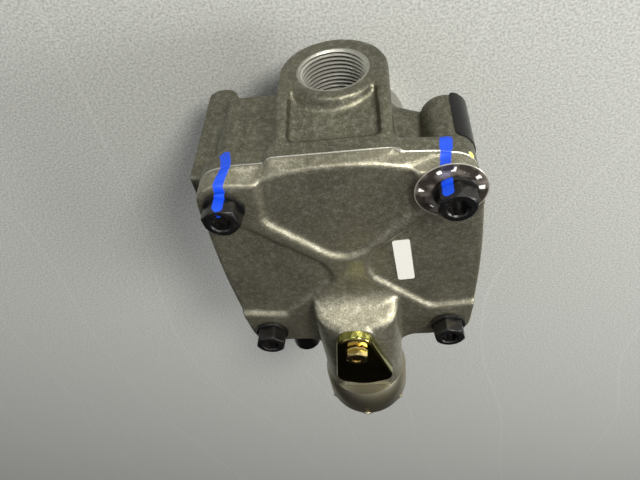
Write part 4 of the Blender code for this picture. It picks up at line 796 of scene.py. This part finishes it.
screwShape = {
    "acrossFlats": 12.7, "head": 6.2, "shankR": 3.97, "reach": 20.0,
    "washerR": 7.8, "washerHole": 4.3, "washer": 1.7, "tag": 0.5,
    "socketR": 3.5, "lobe": 0.45, "socketDepth": 3.6, "turns": (85.0, 102.0, 192.0, 282.0),
}


def socketTool(s, top):
    ring = arc((0, 0), 1.0, 0, 360, 48)[:-1]  # six lobes
    reach = [s["socketR"] + s["lobe"] * math.cos(6 * math.tau * k / 48) for k in range(48)]
    return extruded([(r * x, r * y) for r, (x, y) in zip(reach, ring)], top - s["socketDepth"], top + 1)


def makeScrew(s, n):
    gap = plate["gap"]
    low = plate["padTop"] + gap + (s["tag"] + gap if n == 0 else 0.0)  # the tag lies under the first washer
    hole, outer, thick, broken = s["washerHole"], s["washerR"], s["washer"], 0.45
    washer = turned([(hole, low), (outer - broken, low), (outer, low + broken), (outer, low + thick - 0.7),
                     (outer - 0.2, low + thick - 0.25), (outer - 0.7, low + thick), (hole, low + thick)], 72)
    headLow = low + thick + gap
    top = headLow + s["head"]
    head = hexHead(s["acrossFlats"], headLow, top, 0.3, s["turns"][n])
    shank = rod(s["shankR"], plate["seam"] - s["reach"], headLow + 1.0, 40)
    screw = carved(head, shank, operation="UNION")
    rimCone = spindle([(s["socketR"] + 0.2, top - 0.5), (s["socketR"] + 1.0, top + 0.3)], 48)
    return washer, carved(screw, socketTool(s, top), rimCone)


for n, (x, y) in enumerate(boltPlaces):
    washer, screw = makeScrew(screwShape, n)
    steel = markedSteel if n < 2 else boltSteel
    finished("plainWasher%d" % (n + 1), placed(washer, x, y), steel, "lock_washer_%d" % (n + 1))
    finished("capScrew%d" % (n + 1), placed(screw, x, y), steel, "cover_bolt_%d" % (n + 1))
print("screws made")

tagShape = {"x": 39.8, "y": 43.5, "r": 12.8, "thick": 0.35}


def makeTag(t):
    low = plate["padTop"] + plate["gap"]
    high = low + t["thick"]
    bm = spindle([(t["r"] - 0.1, low), (t["r"], low + 0.1), (t["r"], high - 0.08), (t["r"] - 0.12, high)], 72)
    placed(bm, t["x"], t["y"])
    return carved(bm, placed(rod(plate["holeR"], low - 1, low + 2, 40), *boltPlaces[0]))


finished("roundTag", makeTag(tagShape), foil, "identification_tag")


fittingShape = {
    "collarR": 20.3, "start": 76.25, "collarEnd": 95.6, "end": 99.55, "acrossFlats": 36.4, "turn": 92.5,
    "spigot": 64.25, "spigotR": 11.7, "ringR": 9.1, "ringFrom": 66.75, "ringTo": 69.75,
}


def makeFitting(f):
    start, collarEnd, spigotR, collarR = f["start"], f["collarEnd"], f["spigotR"], f["collarR"]
    body = spindle([(spigotR - 0.6, f["spigot"]), (spigotR, f["spigot"] + 0.6), (spigotR, f["ringFrom"]),
                    (f["ringR"], f["ringFrom"]), (f["ringR"], f["ringTo"]), (spigotR, f["ringTo"]), (spigotR, start),
                    (collarR - 1.4, start), (collarR, start + 3.0), (collarR, collarEnd - 0.9),
                    (collarR - 0.3, collarEnd - 0.3), (collarR - 0.5, collarEnd + 1)])
    head = hexHead(f["acrossFlats"], collarEnd, f["end"], 1.2, f["turn"], 0.6)
    bm = carved(carved(body, head, operation="UNION"), *portTools(sidePort, 60, f["end"], 1.2))
    return laidToFront(bm, x=plate["housingX"], z=plate["padTop"])


finished("serviceFitting", makeFitting(fittingShape), fittingZinc, "service_fitting")


def makeShield(s):
    low = plate["padTop"] + coverShape["flat"] + plate["gap"]
    high = low + s["height"]
    cup = roundedRim(extruded(shieldOutline(s), low, high), high, 1.5, 6)
    hollow = roundedRim(extruded(shieldOutline(s, s["wall"]), low - 1, high - s["wall"]), high - s["wall"], 0.9, 3)
    cup = carved(cup, hollow, placed(rod(2.5, low - 1, high + 1, 32), s["screwX"], s["screwY"]))
    headLow = high + plate["gap"]
    top = headLow + s["screwHead"]
    head = hexHead(s["screwFlats"], headLow, top, 0.2, 20.0, 0.15)
    collar = turned([(0, headLow), (s["collarR"] - 0.2, headLow), (s["collarR"], headLow + 0.25),
                     (s["collarR"] - 0.1, headLow + 0.7), (s["collarR"] - 0.8, headLow + 0.95), (0, headLow + 1.0)], 64)
    shank = rod(s["screwR"], low - 0.25 - 8.0, headLow + 0.5, 32)
    dish = turned([(0, top - 0.5), (2.0, top - 0.4), (2.9, top + 0.4), (0, top + 0.4)], 48)
    screw = carved(carved(head, collar, shank, operation="UNION"), dish)
    return cup, placed(screw, s["screwX"], s["screwY"])


shield, shieldScrew = makeShield(shieldShape)
finished("balanceShield", shield, shieldZinc, "balance_port_shield")
finished("shieldScrew", shieldScrew, screwZinc, "shield_screw")

plugShape = {"face": 66.25, "shankR": 4.2, "shank": 12.0, "headR": 7.3, "head": 16.5}


def makePlug(p):
    face, headR = p["face"], p["headR"]
    end = face + p["head"]
    profile = [(0, face - p["shank"]), (p["shankR"], face - p["shank"]), (p["shankR"], face), (headR - 0.3, face),
               (headR, face + 0.3), (headR, end - 2.0)]
    profile += [(headR - 1.8 + x, end - 1.8 + z) for x, z in arc((0, 0), 1.8, 0, 90, 8)] + [(0, end)]
    return laidToFront(turned(profile, 64), x=bodyShape["plugX"], z=bodyShape["plugZ"])


finished("portPlug", makePlug(plugShape), boltSteel, "port_plug")
print("fitting, shield and plug made")


labelShape = {"x": 22.5, "y": 2.8, "width": 6.9, "length": 25.9, "thick": 0.18, "turn": 3.7}


def makeLabel(s):
    half, reach = s["width"] / 2, s["length"] / 2
    bm = extruded(roundedBox(-half, half, -reach, reach, 1.0), 0, s["thick"])
    return placed(bm, s["x"], s["y"], plate["fieldTop"] + plate["gap"] - 0.2, about="Z", degrees=s["turn"])


finished("coverLabel", makeLabel(labelShape), paper, "cover_label")

sideLabel = {"radius": 9.2, "thick": 0.2, "start": -30.0, "end": 78.0, "low": 52.7, "high": 77.6, "cornerR": 2.6}


def makeSideLabel(s):
    # Cut flat with round corners, scored into strips, then wrapped round the column.
    length = s["radius"] * math.radians(s["end"] - s["start"])
    bm = extruded(roundedBox(0, length, s["low"], s["high"], s["cornerR"]), s["radius"], s["radius"] + s["thick"])
    for k in range(1, 30):
        split(bm, (length * k / 30, 0, 0), (1, 0, 0))
    for vert in bm.verts:
        along, height, radius = vert.co
        angle = math.radians(s["start"]) + along / s["radius"]
        vert.co = (radius * math.cos(angle), radius * math.sin(angle), height)
    return placed(outward(bm), *boltPlaces[0])


finished("columnLabel", makeSideLabel(sideLabel), film, "side_label")

valveSpring = {"radius": 12.2, "wireR": 0.9, "turns": 4.5, "endTurns": 0.6, "travel": 1.8}


def makeSpring(s, low, high):
    # Wound in three runs: a flat end turn, the open coils, and a flat end turn again.
    place = Matrix.Translation((s["radius"], 0, low)) @ Matrix.Rotation(math.radians(90), 4, "X")
    bm = bmesh.new()
    bmesh.ops.create_circle(bm, segments=16, radius=s["wireR"], matrix=place)
    ring = bm.edges[:]
    ends = s["endTurns"]
    for turns, rise in ((ends, 0.0), (s["turns"] - 2 * ends, high - low), (ends, 0.0)):
        steps = round(turns * 40)
        made = bmesh.ops.spin(bm, geom=ring, cent=(0, 0, 0), axis=(0, 0, 1), dvec=(0, 0, rise / steps),
                              angle=math.tau * turns, steps=steps, use_duplicate=False)
        ring = [part for part in made["geom_last"] if isinstance(part, bmesh.types.BMEdge)]
    bmesh.ops.holes_fill(bm, edges=[edge for edge in bm.edges if edge.is_boundary], sides=0)
    return outward(bm)


springLow, springHigh = (corner[2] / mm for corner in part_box("valve_spring"))
coil = makeSpring(valveSpring, springLow + valveSpring["wireR"], springHigh - valveSpring["wireR"])
spring = finished("valveSpringCoil", coil, springMetal, "valve_spring")
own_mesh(spring)
print("valve spring made")

carriedOver = (
    (rubber, "cover_seal", "piston_seal", "valve_face", "retainer_seal", "sleeve_seal", "fitting_seal",
     "exhaust_diaphragm"),
    (nylon, "valve_retainer", "exhaust_cover", "check_shuttle"), (screwZinc, "diaphragm_washer", "diaphragm_screw"),
    (pistonMetal, "relay_piston"), (brassMetal, "inlet_exhaust_valve"), (springMetal, "exhaust_snap_ring"),
)
for material, *names in carriedOver:
    for name in names:
        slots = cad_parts[name].data.materials
        slots.clear()
        slots.append(material)
print("labels made, inner parts finished")


stage = {
    "floor": 4.0, "floorColour": "#babbb6", "floorDark": "#8e8f8b", "floorScratch": "#d6d7d4",
    "skyBright": "#f4f6f8", "skyDark": "#1f1e1c", "skyStrength": 0.58, "skyFrom": -0.35, "skyTo": 0.85,
    "camera": (21.31, 206.84, 236.55), "focalPixels": 570.0,
    "right": (0.98966, -0.13997, -0.03135), "up": (0.06563, 0.63622, -0.76871),
}


def makeFloorMaterial(s):
    # A pale painted bench: matt, finely speckled, with faint cloudy wear and a few long scratches.
    material, add, where = startMaterial("paleBench")
    specks = add("TexNoise", Vector=where, Scale=1 / 1.2, Detail=3.0, Roughness=0.8)
    wear = add("TexNoise", Vector=where, Scale=1 / 60.0, Detail=4.0)
    # The waves take a scale, a distortion, a detail and its scale.
    lines = add("TexWave", where, 0.0035, 9.0, 1.0, 0.6, output="Fac", wave_type="BANDS")
    scratch = add("Math MULTIPLY", add("MapRange", lines, 0.9985, 1.0, 0.0, 0.2), wear)
    return coated(material, add, specks, 0.1, 0.5, s["floorColour"],
                  (add("MapRange", specks, 0.40, 0.62, 0.0, 0.9), s["floorDark"]), (scratch, s["floorScratch"]),
                  roughness=0.6)


bench = bmesh.new()
bmesh.ops.create_grid(bench, x_segments=1, y_segments=1, size=stage["floor"])
floor = standIn(bench, "floor")
floor.data.materials.append(makeFloorMaterial(stage))

world = bpy.data.worlds.new("studio")
bpy.context.scene.world = world
world.use_nodes = True
sky = world.node_tree
addSky = functools.partial(addNode, sky)
lean = addSky("VectorMath DOT_PRODUCT", addSky("TexCoord", output="Generated"), (0.25, 0.72, 0.5))
glow = addSky("MapRange", lean, stage["skyFrom"], stage["skyTo"], interpolation_type="SMOOTHSTEP")
colour = addSky("Mix", glow, linear(stage["skyDark"]), linear(stage["skyBright"]), data_type="RGBA")
sky.links.new(colour, sky.nodes["Background"].inputs["Color"])
sky.nodes["Background"].inputs["Strength"].default_value = stage["skyStrength"]

# Each lamp: the way to it, its distance, its size, its power in watts and its colour.
lamps = {
    "key": ((0.46, 0.68, 0.57), 1.2, 0.28, 14.0, "#fffcf4"),
    "upper": ((0.30, 0.40, 0.86), 1.1, 0.9, 1.5, "#fffcf4"),
    "low": ((-0.1, 0.95, 0.28), 1.2, 0.5, 2.2, "#fffdf8"),
    "fill": ((-0.7, 0.4, 0.7), 1.2, 0.8, 1.5, "#f2f6ff"),
    "side": ((1.0, 0.05, 0.6), 1.1, 0.4, 7.0, "#ffffff"),
}
aim = Vector((0.0, 0.01, 0.07))
for name, (towards, distance, size, watts, colour) in lamps.items():
    data = bpy.data.lights.new(name, "AREA")
    data.shape = "DISK"
    data.size = size
    data.energy = watts
    data.color = linear(colour)[:3]
    light = newObject(name, data)
    light.location = aim + Vector(towards).normalized() * distance
    light.rotation_euler = (aim - light.location).to_track_quat("-Z", "Y").to_euler()

right, up = Vector(stage["right"]), Vector(stage["up"])
back = right.cross(up).normalized()
cameraData = bpy.data.cameras.new("camera")
cameraData.sensor_width = 36.0
cameraData.lens = stage["focalPixels"] / 640 * 36.0
cameraData.clip_start = 0.01
cameraData.clip_end = 20.0
camera = newObject("camera", cameraData)
turn = Matrix((right, back.cross(right), back)).transposed().to_4x4()
camera.matrix_world = Matrix.Translation(Vector(stage["camera"]) * mm) @ turn
bpy.context.scene.camera = camera
bpy.context.scene.view_settings.view_transform = "Standard"
print("stage, lamps and camera set")
